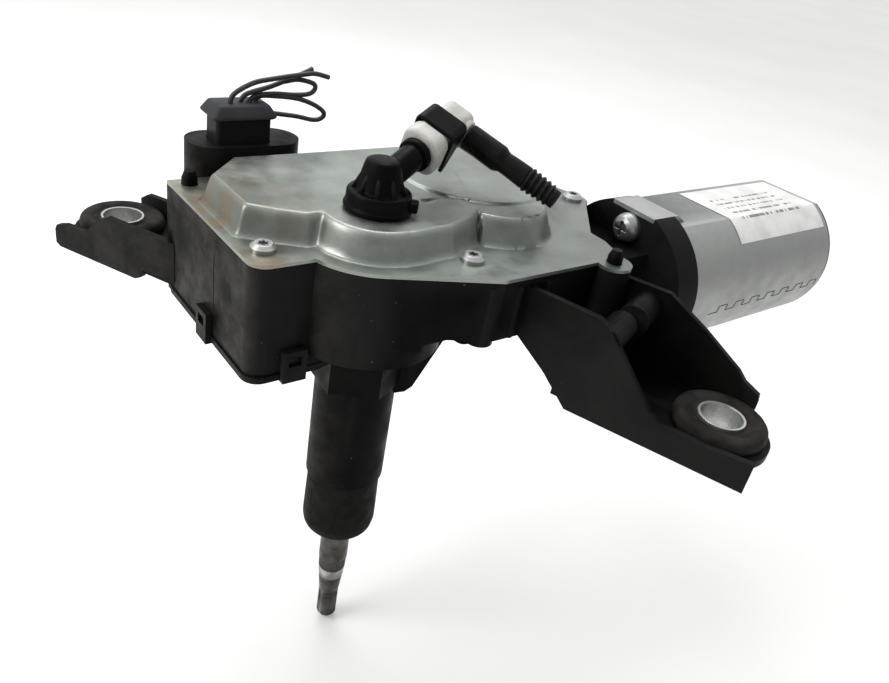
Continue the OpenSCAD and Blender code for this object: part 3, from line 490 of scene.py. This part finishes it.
black_case = moulding("black_case", (0.0012, 0.0012, 0.0013), (0.0045, 0.0043, 0.0042), 0.4)
black_lid = moulding("black_lid", (0.0012, 0.0012, 0.0013), (0.005, 0.005, 0.005), 0.3)
black_plastic = moulding("black_plastic", (0.0012, 0.0012, 0.0014), (0.005, 0.005, 0.0053), 0.12, 0.3)
boot_plastic = moulding("boot_plastic", (0.032, 0.033, 0.038), (0.05, 0.052, 0.058), 0.1, 0.5)
black_rubber = rubber("black_rubber", (0.002, 0.002, 0.0018), (0.008, 0.0075, 0.007))
mount_rubber = rubber("mount_rubber", (0.006, 0.0056, 0.005), (0.026, 0.024, 0.022), 0.65)
hose_rubber = rubber("hose_rubber", (0.002, 0.002, 0.002), (0.01, 0.0095, 0.009), 0.3)
seam_black = rubber("seam_black", (0.05, 0.05, 0.048), (0.12, 0.12, 0.115), 0.6)
cover_steel = pressed_cover("cover_steel")
# The motor can gets painted shade on its lower and front faces.
can_steel = steel("can_steel", (0.13, 0.146, 0.139), (0.27, 0.29, 0.28), 0.44, 0.2, (0.4, 2.0, 2.0),
                  painted_shade=0.9)
screw_steel = steel("screw_steel", (0.22, 0.225, 0.225), (0.42, 0.43, 0.43), 0.32, 0.3)
ground_steel = steel("ground_steel", (0.45, 0.46, 0.48), (0.66, 0.67, 0.69), 0.25, 0.05)
sleeve_steel = steel("sleeve_steel", (0.2, 0.205, 0.19), (0.38, 0.39, 0.37), 0.3, 0.4)
shaft_steel = shaft_finish("shaft_steel")
off_white = plain("off_white", (0.36, 0.35, 0.32), (0.56, 0.55, 0.52), 0.4, scale=90)
white_nylon = plain("white_nylon", (0.72, 0.7, 0.62), (0.84, 0.82, 0.75), 0.35)
bronze = plain("bronze", (0.35, 0.22, 0.1), (0.55, 0.37, 0.19), 0.38, 0.85)
brass = plain("brass", (0.55, 0.4, 0.16), (0.72, 0.55, 0.26), 0.3, 0.9)
copper = plain("copper", (0.5, 0.24, 0.11), (0.7, 0.38, 0.2), 0.3, 0.9)
winding = plain("winding", (0.4, 0.14, 0.05), (0.6, 0.27, 0.12), 0.35, 0.6, 300, 0.06)
magnet = plain("magnet", (0.07, 0.07, 0.075), (0.14, 0.14, 0.15), 0.55)
core_iron = plain("core_iron", (0.2, 0.2, 0.21), (0.36, 0.37, 0.38), 0.4, 0.8, 120, 0.05)
carbon = plain("carbon", (0.03, 0.03, 0.033), (0.08, 0.08, 0.085), 0.6)
board_green = plain("board_green", (0.03, 0.13, 0.06), (0.06, 0.22, 0.1), 0.3)
wire_cover = plain("wire_cover", (0.008, 0.008, 0.009), (0.026, 0.026, 0.029), 0.42, scale=120)
label_film = label_finish("label_film")

CAD_FINISHES = {
    "gear_housing": black_case, "bottom_cover": black_lid, "motor_end_cap": black_lid,
    "brush_holder": black_plastic, "plug_housing": black_plastic, "jet_insert": black_plastic,
    "cover_seal": black_rubber, "elbow_seal": black_rubber,
    "motor_yoke": can_steel, "cover_screws": screw_steel, "motor_screws": screw_steel,
    "mount_sleeves": sleeve_steel, "output_shaft": shaft_steel,
    "thrust_washers": ground_steel, "wheel_axle": ground_steel, "shaft_circlip": ground_steel,
    "swing_link": ground_steel, "link_pin": ground_steel, "crank_pin": ground_steel,
    "armature_shaft": ground_steel, "worm": ground_steel,
    "shaft_bushings": bronze, "armature_bearings": bronze, "crank_bushing": bronze,
    "terminal_pins": brass, "contact_springs": brass, "brush_springs": brass,
    "contact_disc": copper, "commutator": copper,
    "suppression_chokes": winding, "armature_windings": winding,
    "field_magnets": magnet, "armature_core": core_iron, "carbon_brushes": carbon,
    "circuit_board": board_green,
    "output_pinion": white_nylon, "sector_gear": white_nylon, "worm_wheel": white_nylon,
}
for node_name, finish in CAD_FINISHES.items():
    nodes[node_name].data.materials.clear()
    nodes[node_name].data.materials.append(finish)


# ---------- pressed cover ----------

DOME_H = 9.6
ELBOW_HOLE_R = 7.7
STEP_H = 0.8
STEP_R = 28.8
SHAFT_ARC_R = 21.6
TURRET_R = 21.6
SLOPE_R = 32
SLOPE_WIDTH = 16.5
BACK_Y = 54.5
SLOPE_CENTRE = (WHEEL.x - 2.2, WHEEL.y + 8.4)
TURRET_CENTRE = (WHEEL.x - 5.2, WHEEL.y - 20.4)
LEFT_PART = [(-41.4, 11.4), (-32.2, 3.8), (-24.2, -1.4), (-17.5, -1.4), (40, -1.4), (50, 20), (50, 60),
             (-28, 60), (-28, 52), (-41.4, 38.6)]
FRONT_PART = [(-2, -21.2), (4, -21.6), (17, -20.6), (31, -15.4), (44, -6), (30, 6), (0, 2)]


def polygon_distance(x, y, corners):
    """Signed distance to a polygon, negative inside."""
    nearest = np.full(x.shape, 1e9)
    inside = np.zeros(x.shape, bool)
    for (ax, ay), (bx, by) in zip(corners, corners[1:] + corners[:1]):
        ex, ey = bx - ax, by - ay
        t = np.clip(((x - ax) * ex + (y - ay) * ey) / (ex * ex + ey * ey), 0, 1)
        nearest = np.minimum(nearest, (x - ax - t * ex) ** 2 + (y - ay - t * ey) ** 2)
        if ey:
            crosses = ((ay > y) != (by > y)) & (x < ex * (y - ay) / ey + ax)
            inside ^= crosses
    return np.where(inside, -1, 1) * np.sqrt(nearest)


def soft_min(a, b, blend):
    h = np.clip(0.5 + 0.5 * (b - a) / blend, 0, 1)
    return b * (1 - h) + a * h - blend * h * (1 - h)


def ease(t):
    t = np.clip(t, 0, 1)
    return t * t * t * (t * (6 * t - 15) + 10)


def cover_height(x, y):
    """Height of the pressed cover above its flange."""
    shaft_arc = np.hypot(x, y) - SHAFT_ARC_R
    body = soft_min(polygon_distance(x, y, LEFT_PART), shaft_arc, 1.2)
    body = soft_min(body, polygon_distance(x, y, FRONT_PART), 1.5)
    skirt = DOME_H * ease((0.4 - body) / 5.0)
    slope_r = np.hypot(x - SLOPE_CENTRE[0], y - SLOPE_CENTRE[1])
    slope = DOME_H * np.clip(1 - (slope_r - SLOPE_R) / SLOPE_WIDTH, 0, 1) ** 1.8
    slope = soft_min(slope, np.full(x.shape, DOME_H), 0.9)
    turret_r = np.hypot(x - TURRET_CENTRE[0], y - TURRET_CENTRE[1])
    turret = DOME_H * np.clip((TURRET_R - turret_r) / 4, 0, 1)
    turret = soft_min(turret, np.full(x.shape, DOME_H), 0.5)
    turret = np.where(x > 31.5 + 0.25 * (y + 15), turret, 0)
    height = -soft_min(-skirt, -np.maximum(slope, turret), 0.5)
    back = DOME_H * ease((BACK_Y - y) / 5.5)
    height = soft_min(height, back, 0.8)
    step_r = np.hypot(x - WHEEL.x, y - WHEEL.y)
    height = height + STEP_H * ease((STEP_R - step_r) / 1.4) * np.clip(height / DOME_H, 0, 1) ** 4
    return np.maximum(height, 0)


def section_loops(node, z):
    """Closed outlines of a CAD node cut at height z, in millimetres."""
    mesh = nodes[node].data
    points = [vertex.co / MM for vertex in mesh.vertices]
    mesh.calc_loop_triangles()
    ends = {}
    for triangle in mesh.loop_triangles:
        cut = []
        for a, b in ((0, 1), (1, 2), (2, 0)):
            p, q = points[triangle.vertices[a]], points[triangle.vertices[b]]
            if (p.z > z) != (q.z > z):
                t = (z - p.z) / (q.z - p.z)
                spot = p.lerp(q, t)
                cut.append((round(spot.x, 2), round(spot.y, 2)))
        if len(cut) == 2 and cut[0] != cut[1]:
            ends.setdefault(cut[0], []).append(cut[1])
            ends.setdefault(cut[1], []).append(cut[0])
    loops, used = [], set()
    for start in ends:
        if start in used:
            continue
        loop, here = [], start
        while here is not None and here not in used:
            used.add(here)
            loop.append(here)
            here = next((p for p in ends[here] if p not in used), None)
        loops.append(loop)
    return loops


def loop_size(loop):
    return max(p[0] for p in loop) - min(p[0] for p in loop)


def thin(loop, gap):
    """The same closed line without the points that crowd the one before them."""
    kept = [loop[0]]
    for point in loop[1:]:
        if math.dist(point, kept[-1]) >= gap and math.dist(point, kept[0]) >= gap:
            kept.append(point)
    return kept


def divide(loop, step):
    """The same closed line with points at most one step apart."""
    fine = []
    for a, b in zip(loop, loop[1:] + loop[:1]):
        parts = max(1, int(math.dist(a, b) / step))
        for k in range(parts):
            fine.append((a[0] + (b[0] - a[0]) * k / parts, a[1] + (b[1] - a[1]) * k / parts))
    return fine


def build_cover():
    loops = sorted(section_loops("cover_plate", FLANGE_Z - SHEET / 2), key=loop_size, reverse=True)
    rim = divide(thin(loops[0], 0.5), 1.2)
    holes = [divide(loop, 0.8) for loop in loops if loop_size(loop) < 8]
    around = [math.tau * k / 48 for k in range(48)]
    holes.append([(ELBOW_HOLE_R * math.cos(a), ELBOW_HOLE_R * math.sin(a)) for a in around])
    step = 0.7
    low, high = box_mm("cover_plate")
    xs, ys = np.meshgrid(np.arange(low.x, high.x, step), np.arange(low.y, high.y, step))
    xs = xs + np.where(np.arange(xs.shape[0]) % 2, step / 2, 0)[:, None]
    xs, ys = xs.ravel(), ys.ravel()
    keep = polygon_distance(xs, ys, rim) < -0.5
    for hole in holes:
        keep &= polygon_distance(xs, ys, hole) > 0.35
    flat, edges = [], []
    for loop in [rim] + holes:
        first = len(flat)
        flat += loop
        edges += [(first + k, first + (k + 1) % len(loop)) for k in range(len(loop))]
    flat += list(zip(xs[keep], ys[keep]))
    result = delaunay_2d_cdt([Vector(p) for p in flat], edges, [], 0, 1e-5, False)
    spots, triangles = result[0], result[2]
    x = np.array([p.x for p in spots])
    y = np.array([p.y for p in spots])
    corners = np.array(triangles)
    mid_x, mid_y = x[corners].mean(axis=1), y[corners].mean(axis=1)
    wanted = polygon_distance(mid_x, mid_y, rim) < 0
    for hole in holes:
        wanted &= polygon_distance(mid_x, mid_y, hole) > 0
    z = cover_height(x, y) + FLANGE_Z
    faces = [tuple(int(i) for i in corner) for corner in corners[wanted]]
    cover = add_piece("cover_skin", list(zip(x, y, z)), faces, cover_steel, "case",
                      ["cover_plate"])
    solid = cover.modifiers.new("sheet", "SOLIDIFY")
    solid.thickness = SHEET * MM
    solid.offset = -1
    solid.use_even_offset = False
    add_bevel(cover, 0.25, 2, 60)
    cover.modifiers["soft_edges"].harden_normals = True
    return cover


build_cover()


# ---------- rubber pieces ----------

def build_mount(name, mount):
    """Thick rubber ring with a dished middle, held by a groove in the arm."""
    centre = in_mm(mounts[mount]["pos_m"])
    top = box_mm("mount_grommets")[1].z
    profile = [(7.62, -13.2), (11.6, -13.2), (13.6, -12), (14, -8.4), (11.2, -8.2), (11.2, -5.2),
               (14.6, -5), (15.2, -2.8), (14.4, -0.6), (12.6, 0), (10.6, -0.3), (9.4, -1.1),
               (8.5, -1.4), (7.62, -1.2)]
    profile = soften(profile, 0.9, 4)
    points, faces = lathe(profile, Matrix.Translation((centre.x, centre.y, top)), 96, True, 0.12)
    return add_piece(name, points, faces, mount_rubber, "case", ["mount_grommets"])


build_mount("rubber_mount_front", "sleeve_front")
build_mount("rubber_mount_back", "sleeve_back")


NOSE_LEN = 7.5                                       # how far the drip nose hangs below the cap


def build_shaft_cap():
    """Rubber cap pushed over the end of the tube, with a drip nose underneath."""
    top, end = CAP_HIGH.z, CAP_LOW.z + NOSE_LEN
    profile = [(11.05, top), (13.3, top - 0.1), (13.8, end + 6.5), (13.2, end + 3.4), (11.1, end + 1),
               (8.7, end), (6.3, end), (6.3, end + 1.6), (11.05, end + 3)]
    points, faces = lathe(soften(profile, 0.8, 4, True), Matrix.Identity(4), 96, True, 0.06)
    nose_at = Euler((0, 0, math.radians(-20))).to_matrix().to_4x4() @ Matrix.Translation((7.8, 0, 0))
    nose = loft(rounded_block(CAP_LOW.z, end + 2.5, [1.3, 1.4, 1.7, 1.7], 0.7, 0.5, 4), nose_at)
    points, faces = join((points, faces), nose)
    return add_piece("shaft_cap_rubber", points, faces, black_rubber, "case",
                     ["shaft_cap"])


build_shaft_cap()


# ---------- water elbow ----------

def build_elbow():
    base = FLANGE_Z + DOME_H
    profile = [(5.35, base - 3), (7.35, base - 3), (7.4, base), (10.7, base + 0.1), (10.9, base + 1.4),
               (10.3, base + 2), (10.1, base + 5.4), (9.7, base + 6), (7.4, base + 6.3), (5.7, base + 13.8),
               (5.1, base + 15.4), (3.6, base + 15.9), (0.05, base + 16)]
    column = lathe(soften(profile, 0.5, 3), Matrix.Identity(4), 72)
    start = ELBOW_BEND - Vector((0, 0, 6))
    path = smooth_path([start, start + Vector((0, 0, 3)),
                        ELBOW_BEND + OUTLET * 1.2 + Vector((0, 0, 0.6)), ELBOW_BEND + OUTLET * 6,
                        ELBOW_BEND + OUTLET * 12, ELBOW_BEND + OUTLET * 22.4], 8)
    pipe = sweep(path, lambda t: 4.45, 40)
    outlet = axis_matrix(ELBOW_BEND, OUTLET)
    collar_profile = soften([(4.3, 17.6), (5.5, 17.8), (5.6, 20), (4.3, 20.2)], 0.4, 3, True)
    collar = lathe(collar_profile, outlet, 48, True)
    fins = []
    for angle in (150, 190, 230, 270, 310):
        turn = Euler((0, 0, math.radians(angle))).to_matrix().to_4x4()
        low = [2.9, 4.1, 0.7, 0.7]
        high = [2.4, 1.4, 0.6, 0.6]
        ring_low = [(x + 5, y) for x, y in block_ring(low, 0.5, 3)]
        ring_high = [(x + 4.4, y) for x, y in block_ring(high, 0.5, 3)]
        fins.append(loft([(base + 5.5, ring_low), (base + 12.2, ring_high)], turn))
    turn = Euler((0, 0, math.radians(-40))).to_matrix().to_4x4() @ Matrix.Translation((10.8, 0, 0))
    catch = loft(rounded_block(base + 0.9, base + 4.2, [1.8, 1.6, 2.2, 2.2], 0.8, 0.5, 4), turn)
    points, faces = join(column, pipe, collar, catch, *fins)
    return add_piece("water_elbow", points, faces, black_plastic, "case",
                     ["inlet_elbow"])


build_elbow()


# ---------- snap connector and hose ----------

ROLL = math.radians(20)
outlet_place = axis_matrix(ELBOW_BEND, OUTLET) @ Matrix.Rotation(ROLL, 4, "Z")
BARB_AT = 42                                         # the barb's root along the outlet
BARB_FROM = ELBOW_BEND + OUTLET * BARB_AT
HOSE_SLEEVE_R, HOSE_R, RING_COUNT, RING_PITCH = 4.6, 3.6, 5, 2.1
HOSE_LEN = (HOSE_END - BARB_FROM).dot(BARB)


def build_connector():
    front = loft(rounded_block(20.6, 27.2, [7, 7, 7, 7], 4, 1.2), outlet_place)
    middle = loft(rounded_block(27, 38, [6, 6, 6, 6], 3, 0.4), outlet_place)
    rear = loft(rounded_block(37, 46.4, [5.4, 5.8, 5.8, 5.8], 2.8, 1.2), outlet_place)
    barb_place = axis_matrix(BARB_FROM, BARB)
    arm = lathe(soften([(0.05, -1), (5.2, -1), (5.2, 5.2), (5, 6.3), (2.6, 6.3), (2.6, 15), (1.6, 15),
                        (1.5, 4), (0.05, 4)], 0.5, 3), barb_place, 48)
    points, faces = join(front, middle, rear, arm)
    return add_piece("snap_connector", points, faces, off_white, "connector",
                     ["quick_connector"])


def clip_outline(inset):
    """Upside-down U across the clip, open at the bottom so that it lifts off the connector."""
    reach, top, foot = 7.4 - inset, 7.6 - inset, -7.4 + inset
    inner, roof = 6.3 + inset, 6.3 + inset
    outer = soften([(reach, foot), (reach, top), (-reach, top), (-reach, foot)], 2.4, 6)
    return outer + [(-inner, foot), (-inner, roof), (inner, roof), (inner, foot)]


def build_clip():
    """Black snap clip over the top and both sides of the connector, narrow at its feet."""
    points = []
    shares = (0, 0.04, 0.5, 0.96, 1)
    for share in shares:
        for x, y in clip_outline(0.25 if share in (0, 1) else 0):
            sink = (8 - y) / 16
            low = 27.25 + 0.4 * sink
            high = 37.4 - 8.4 * sink
            points.append(outlet_place @ Vector((x, y, low + (high - low) * share)))
    columns = len(points) // len(shares)
    faces = grid_faces(len(shares), columns)
    faces.append(tuple(range(columns - 1, -1, -1)))
    faces.append(tuple(range(len(points) - columns, len(points))))
    return add_piece("black_clip", points, faces, black_plastic, "clip",
                     ["retaining_clip"], smooth=False)


def hose_radius(s):
    """Outside radius of the hose at distance s from the barb's root."""
    if s < 22:
        step = ease(np.array((s - 19) / 3.5)).item()
        return HOSE_SLEEVE_R - (HOSE_SLEEVE_R - HOSE_R) * step
    ring_from = HOSE_LEN - 12.4
    if s < ring_from:
        return HOSE_R + 0.4 * (s - 22) / (ring_from - 22)
    if s < ring_from + RING_COUNT * RING_PITCH:
        wave = 0.5 - 0.5 * math.cos(math.tau * (s - ring_from) / RING_PITCH)
        return HOSE_R + 0.8 * wave ** 0.7 - 0.06 * (s - ring_from)
    return 3.2


def build_hose():
    start = 7.0
    count = 220
    place = axis_matrix(BARB_FROM, BARB)
    profile = []
    for k in range(count + 1):
        s = start + (HOSE_LEN - start) * k / count
        profile.append((hose_radius(s), s))
    inner = [(2.6, HOSE_LEN), (2.65, HOSE_LEN - 1), (2.65, start), (hose_radius(start), start)]
    points, faces = lathe(profile + inner, place, 48, False, 0.16)
    bent = []
    side = place.to_3x3() @ Vector((1, 0, 0))
    for point in points:
        s = (point - BARB_FROM).dot(BARB)
        bend = math.sin(math.pi * (s - start) / (HOSE_LEN - start))
        bent.append(point + side * 0.5 * bend)
    return add_piece("hose_skin", bent, faces, hose_rubber, "connector", ["washer_hose"])


build_connector()
build_clip()
build_hose()


# ---------- plug and wires ----------

def build_boot():
    """Cap on the plug with a flared skirt."""
    low, high = box_mm("plug_boot")
    centre = (low + high) / 2
    half_x, half_y = (high.x - low.x) / 2, (high.y - low.y) / 2
    rings = [(low.z, 0.8, 0.5), (low.z + 0.4, 0.3, 0.1), (low.z + 0.9, 0, 0), (low.z + 1.3, 0.1, 0.05),
             (high.z - 2.2, 1.9, 1.1), (high.z - 1.8, 2.2, 1.4), (high.z - 1.6, 2.8, 1.9)]
    sections = [(z, block_ring([half_x - dx, half_x - dx, half_y - dy, half_y - dy], 1.4, 5))
                for z, dx, dy in rings]
    points, faces = loft(sections, Matrix.Translation((centre.x, centre.y, 0)))
    return add_piece("plug_cap", points, faces, boot_plastic, "plug", ["plug_boot"])


WIRE_R = 0.85
WIRES = {
    "wire_top": [(-21, 63, 22), (-19.6, 63, 26), (-13.5, 61.5, 30.1), (-6.6, 60.5, 31.8), (4.7, 60, 33.4),
                 (9, 60, 33.6), (14.6, 60.5, 32.2)],
    "wire_cut": [(-17, 65, 22), (-14.4, 64.4, 25.6), (-6.6, 63, 28.4), (0.5, 62, 31.4), (5.6, 61, 33.8),
                 (8.4, 61.5, 34.9)],
    "wire_middle": [(-14.5, 64, 22), (-11.5, 64, 25), (-5.1, 63, 26), (2.2, 62, 25.8), (7.6, 61, 26.4),
                    (9.8, 61, 28.3), (8.4, 60.5, 30.2), (3.2, 61.5, 31.2), (-2, 62.5, 30.2)],
    "wire_long": [(-11.5, 66, 21.5), (-9.4, 65, 24.6), (-4.4, 63, 25.2), (3.5, 61.5, 24.6), (10, 61, 22.4),
                  (14, 61, 19.6), (13.6, 61.5, 17.4), (10.4, 62, 16.7), (4, 63, 17.9), (-4, 65, 18.6)],
}


def build_wires():
    for name, spots in WIRES.items():
        path = smooth_path([(x, y, z + FLANGE_Z) for x, y, z in spots], 10)
        points, faces = sweep(path, lambda t: WIRE_R, 14)
        add_piece(name, points, faces, wire_cover, "plug", ["harness_wires"])


build_boot()
build_wires()


# ---------- motor label ----------

def can_point(turn, grow):
    """Point of the can's cross-section at an angle from the top, in the plane across the motor."""
    radius = (CAN_HIGH.y - CAN_LOW.y) / 2 + grow
    flat = radius - 3.5
    y = -math.sin(turn) * radius
    z = math.cos(turn) * radius
    if z > flat:
        y = -math.tan(turn) * flat if abs(math.tan(turn) * flat) < radius else y
        z = flat
    return MOTOR.y + y, MOTOR.z + z


def build_label():
    low, high = box_mm("rating_label")
    across, along = 40, 24
    turn_low, turn_high = math.radians(-24), math.radians(50)
    points, faces, uvs = [], [], []
    for row in range(across + 1):
        turn = turn_low + (turn_high - turn_low) * row / across
        y, z = can_point(turn, 0.16)
        for column in range(along + 1):
            points.append((low.x + (high.x - low.x) * column / along, y, z))
            uvs.append((column / along, row / across))
    for row in range(across):
        for column in range(along):
            a = row * (along + 1) + column
            faces.append((a, a + along + 1, a + along + 2, a + 1))
    label = add_piece("label_sheet", points, faces, label_film, "case", ["rating_label"])
    layer = label.data.uv_layers.new(name="label")
    for loop in label.data.loops:
        layer.data[loop.index].uv = uvs[loop.vertex_index]
    return label


build_label()


def build_seam():
    """Dovetail joint line of the rolled can, low on its near side."""
    start, end = CAN_LOW.x + 26, CAN_HIGH.x - 6
    pitch, middle, swing = 11.0, math.radians(99), math.radians(2.8)
    path = []
    x, sign = start, 1
    while x < end:
        for share in np.linspace(0, 1, 5):
            path.append((x + share * pitch / 2, middle + sign * swing))
        for share in np.linspace(0, 1, 4):
            path.append((x + pitch / 2, middle + sign * swing * (1 - 2 * share)))
        x += pitch / 2
        sign = -sign
    spots = []
    for along, turn in path:
        y, z = can_point(turn, 0.02)
        spots.append(Vector((along, y, z)))
    spots = spots[:1] + [spot for spot, before in zip(spots[1:], spots) if (spot - before).length > 0.05]
    points, faces = sweep(spots, lambda t: 0.16, 6)
    add_piece("can_seam", points, faces, seam_black, "case")


build_seam()


# ---------- wiper shaft ----------

# Heights of the steps on the shaft, counted from the cover flange
SHAFT_TOP_Z, SHOULDER_Z, COLLAR_Z, KNURL_Z = 14, -2.4, -124, -140.5
RING_Z, NECK_Z, THREAD_Z, CHAMFER_Z, TIP_Z = -146, -151, -160, -173.8, -175
PINION_SEAT_R, SHAFT_R, COLLAR_R = 4.0, 5.0, 5.65
KNURL_TEETH = 36
THREAD_ROOT_R, THREAD_DEPTH, THREAD_PITCH = 3.42, 0.58, 1.25
JET_HOLE_R, JET_HOLE_TOP_Z = 2.62, -169.2


def shaft_radius(z, angle):
    """Outside radius of the shaft; z counts from the cover flange."""
    if z > SHOULDER_Z:
        return PINION_SEAT_R
    if z > COLLAR_Z:
        return SHAFT_R
    if z > KNURL_Z:
        return COLLAR_R
    if z > RING_Z:
        tooth = abs((angle / math.tau * KNURL_TEETH) % 1 - 0.5) * 2
        return 5.55 - 0.05 * (KNURL_Z - z) - 0.4 * tooth
    if z > NECK_Z:
        return 5.3 - 0.085 * (RING_Z - z)
    if z > THREAD_Z:
        return 4.87 - 0.095 * (NECK_Z - z)
    if z > CHAMFER_Z:
        ridge = abs((z / THREAD_PITCH + angle / math.tau) % 1 - 0.5) * 2
        return THREAD_ROOT_R + THREAD_DEPTH * ridge
    return 3.5 - 0.5 * (CHAMFER_Z - z)


def build_shaft():
    levels = [SHAFT_TOP_Z, SHAFT_TOP_Z - 0.1, 0, SHOULDER_Z + 0.02, SHOULDER_Z - 0.02, -60]
    levels += [COLLAR_Z + 0.02, COLLAR_Z - 0.02, KNURL_Z + 0.02]
    levels += [KNURL_Z - 0.02 - 0.3 * k for k in range(19)]
    levels += [RING_Z - 0.02, -148.5, NECK_Z, -154, -157, THREAD_Z + 0.1]
    levels += [THREAD_Z - 0.02 - 0.125 * k for k in range(111)]
    levels += [-174.4, TIP_Z]
    steps = 144
    points = []
    for z in levels:
        for k in range(steps):
            a = math.tau * k / steps
            r = shaft_radius(z, a)
            points.append((r * math.cos(a), r * math.sin(a), z + FLANGE_Z))
    for r, z in ((JET_HOLE_R, TIP_Z), (JET_HOLE_R, JET_HOLE_TOP_Z), (0.02, JET_HOLE_TOP_Z + 0.1)):
        for k in range(steps):
            a = math.tau * k / steps
            points.append((r * math.cos(a), r * math.sin(a), z + FLANGE_Z))
    faces = grid_faces(len(points) // steps, steps)
    faces.append(tuple(range(steps - 1, -1, -1)))
    shaft = add_piece("threaded_shaft", points, faces, shaft_steel, "wiper_shaft",
                      ["output_shaft"])
    split = shaft.modifiers.new("crisp", "EDGE_SPLIT")
    split.split_angle = math.radians(40)


build_shaft()


# ---------- smooth shading with split sharp edges on the CAD pieces ---

for node_name in ("gear_housing", "motor_yoke", "bottom_cover", "plug_housing", "cover_screws",
                  "motor_screws"):
    mesh = nodes[node_name].data
    for polygon in mesh.polygons:
        polygon.use_smooth = True
    split = nodes[node_name].modifiers.new("crisp", "EDGE_SPLIT")
    split.split_angle = math.radians(28)


# ---------- floor, light and camera ----------

floor_mesh = bpy.data.meshes.new("floor")
reach = 30.0
floor_z = cad_bounds[0].z - 0.0005
floor_mesh.from_pydata([(-reach, -reach, floor_z), (reach, -reach, floor_z), (reach, reach, floor_z),
                        (-reach, reach, floor_z)], [], [(0, 1, 2, 3)])
floor = bpy.data.objects.new("floor", floor_mesh)
bpy.context.scene.collection.objects.link(floor)
floor_white = plain("floor_white", (0.86, 0.86, 0.85), (0.9, 0.9, 0.89), 0.7, scale=3, grain=0.0)
floor_mesh.materials.append(floor_white)


def add_light(name, place, aim, size, power):
    data = bpy.data.lights.new(name, "AREA")
    data.size = size
    data.energy = power
    light = bpy.data.objects.new(name, data)
    light.location = place
    light.rotation_euler = (Vector(aim) - Vector(place)).to_track_quat("-Z", "Y").to_euler()
    bpy.context.scene.collection.objects.link(light)


centre_m = (cad_bounds[0] + cad_bounds[1]) / 2
add_light("key", (-0.9, 0.25, 0.75), centre_m, 0.6, 7)
add_light("top", (0.2, 0.5, 1.1), centre_m, 0.7, 6)


def build_world():
    """Soft white room, brighter overhead and behind the object than on the camera's side."""
    world = bpy.data.worlds.new("studio")
    world.use_nodes = True
    tree = world.node_tree
    slope = tree.nodes.new("ShaderNodeVectorMath")
    slope.operation = "DOT_PRODUCT"
    slope.inputs[1].default_value = Vector((0.2, 0.55, 1.0)).normalized()
    shade = tree.nodes.new("ShaderNodeMapRange")
    for key, value in (("From Min", -0.5), ("From Max", 0.95), ("To Min", 0.25), ("To Max", 1.1)):
        shade.inputs[key].default_value = value
    tree.links.new(tree.nodes.new("ShaderNodeTexCoord").outputs["Generated"], slope.inputs[0])
    tree.links.new(slope.outputs["Value"], shade.inputs["Value"])
    seen = tree.nodes.new("ShaderNodeMath")
    seen.operation = "MAXIMUM"
    tree.links.new(shade.outputs["Result"], seen.inputs[0])
    tree.links.new(tree.nodes.new("ShaderNodeLightPath").outputs["Is Camera Ray"], seen.inputs[1])
    tree.links.new(seen.outputs["Value"], tree.nodes["Background"].inputs["Strength"])
    tree.nodes["Background"].inputs["Color"].default_value = (1.0, 1.0, 1.0, 1.0)
    bpy.context.scene.world = world


build_world()
bpy.context.scene.view_settings.view_transform = "Standard"

camera_data = bpy.data.cameras.new("camera")
camera_data.sensor_width = 36
camera_data.lens = 32.115
camera = bpy.data.objects.new("camera", camera_data)
bpy.context.scene.collection.objects.link(camera)
YAW, PITCH, CAMERA_ROLL = map(math.radians, (-42.106, 30.659, 10.93))
right = Vector((math.cos(YAW), math.sin(YAW), 0))
level = Vector((-math.sin(YAW), math.cos(YAW), 0))
up = Vector((0, 0, 1))
ahead = math.cos(PITCH) * level - math.sin(PITCH) * up
lifted = math.sin(PITCH) * level + math.cos(PITCH) * up
side = math.cos(CAMERA_ROLL) * right + math.sin(CAMERA_ROLL) * lifted
top = math.cos(CAMERA_ROLL) * lifted - math.sin(CAMERA_ROLL) * right
camera_at = Vector((-132.72, -188.75, FLANGE_Z + 102.92)) * MM
camera.matrix_world = Matrix.Translation(camera_at) @ Matrix((side, top, -ahead)).transposed().to_4x4()
bpy.context.scene.camera = camera
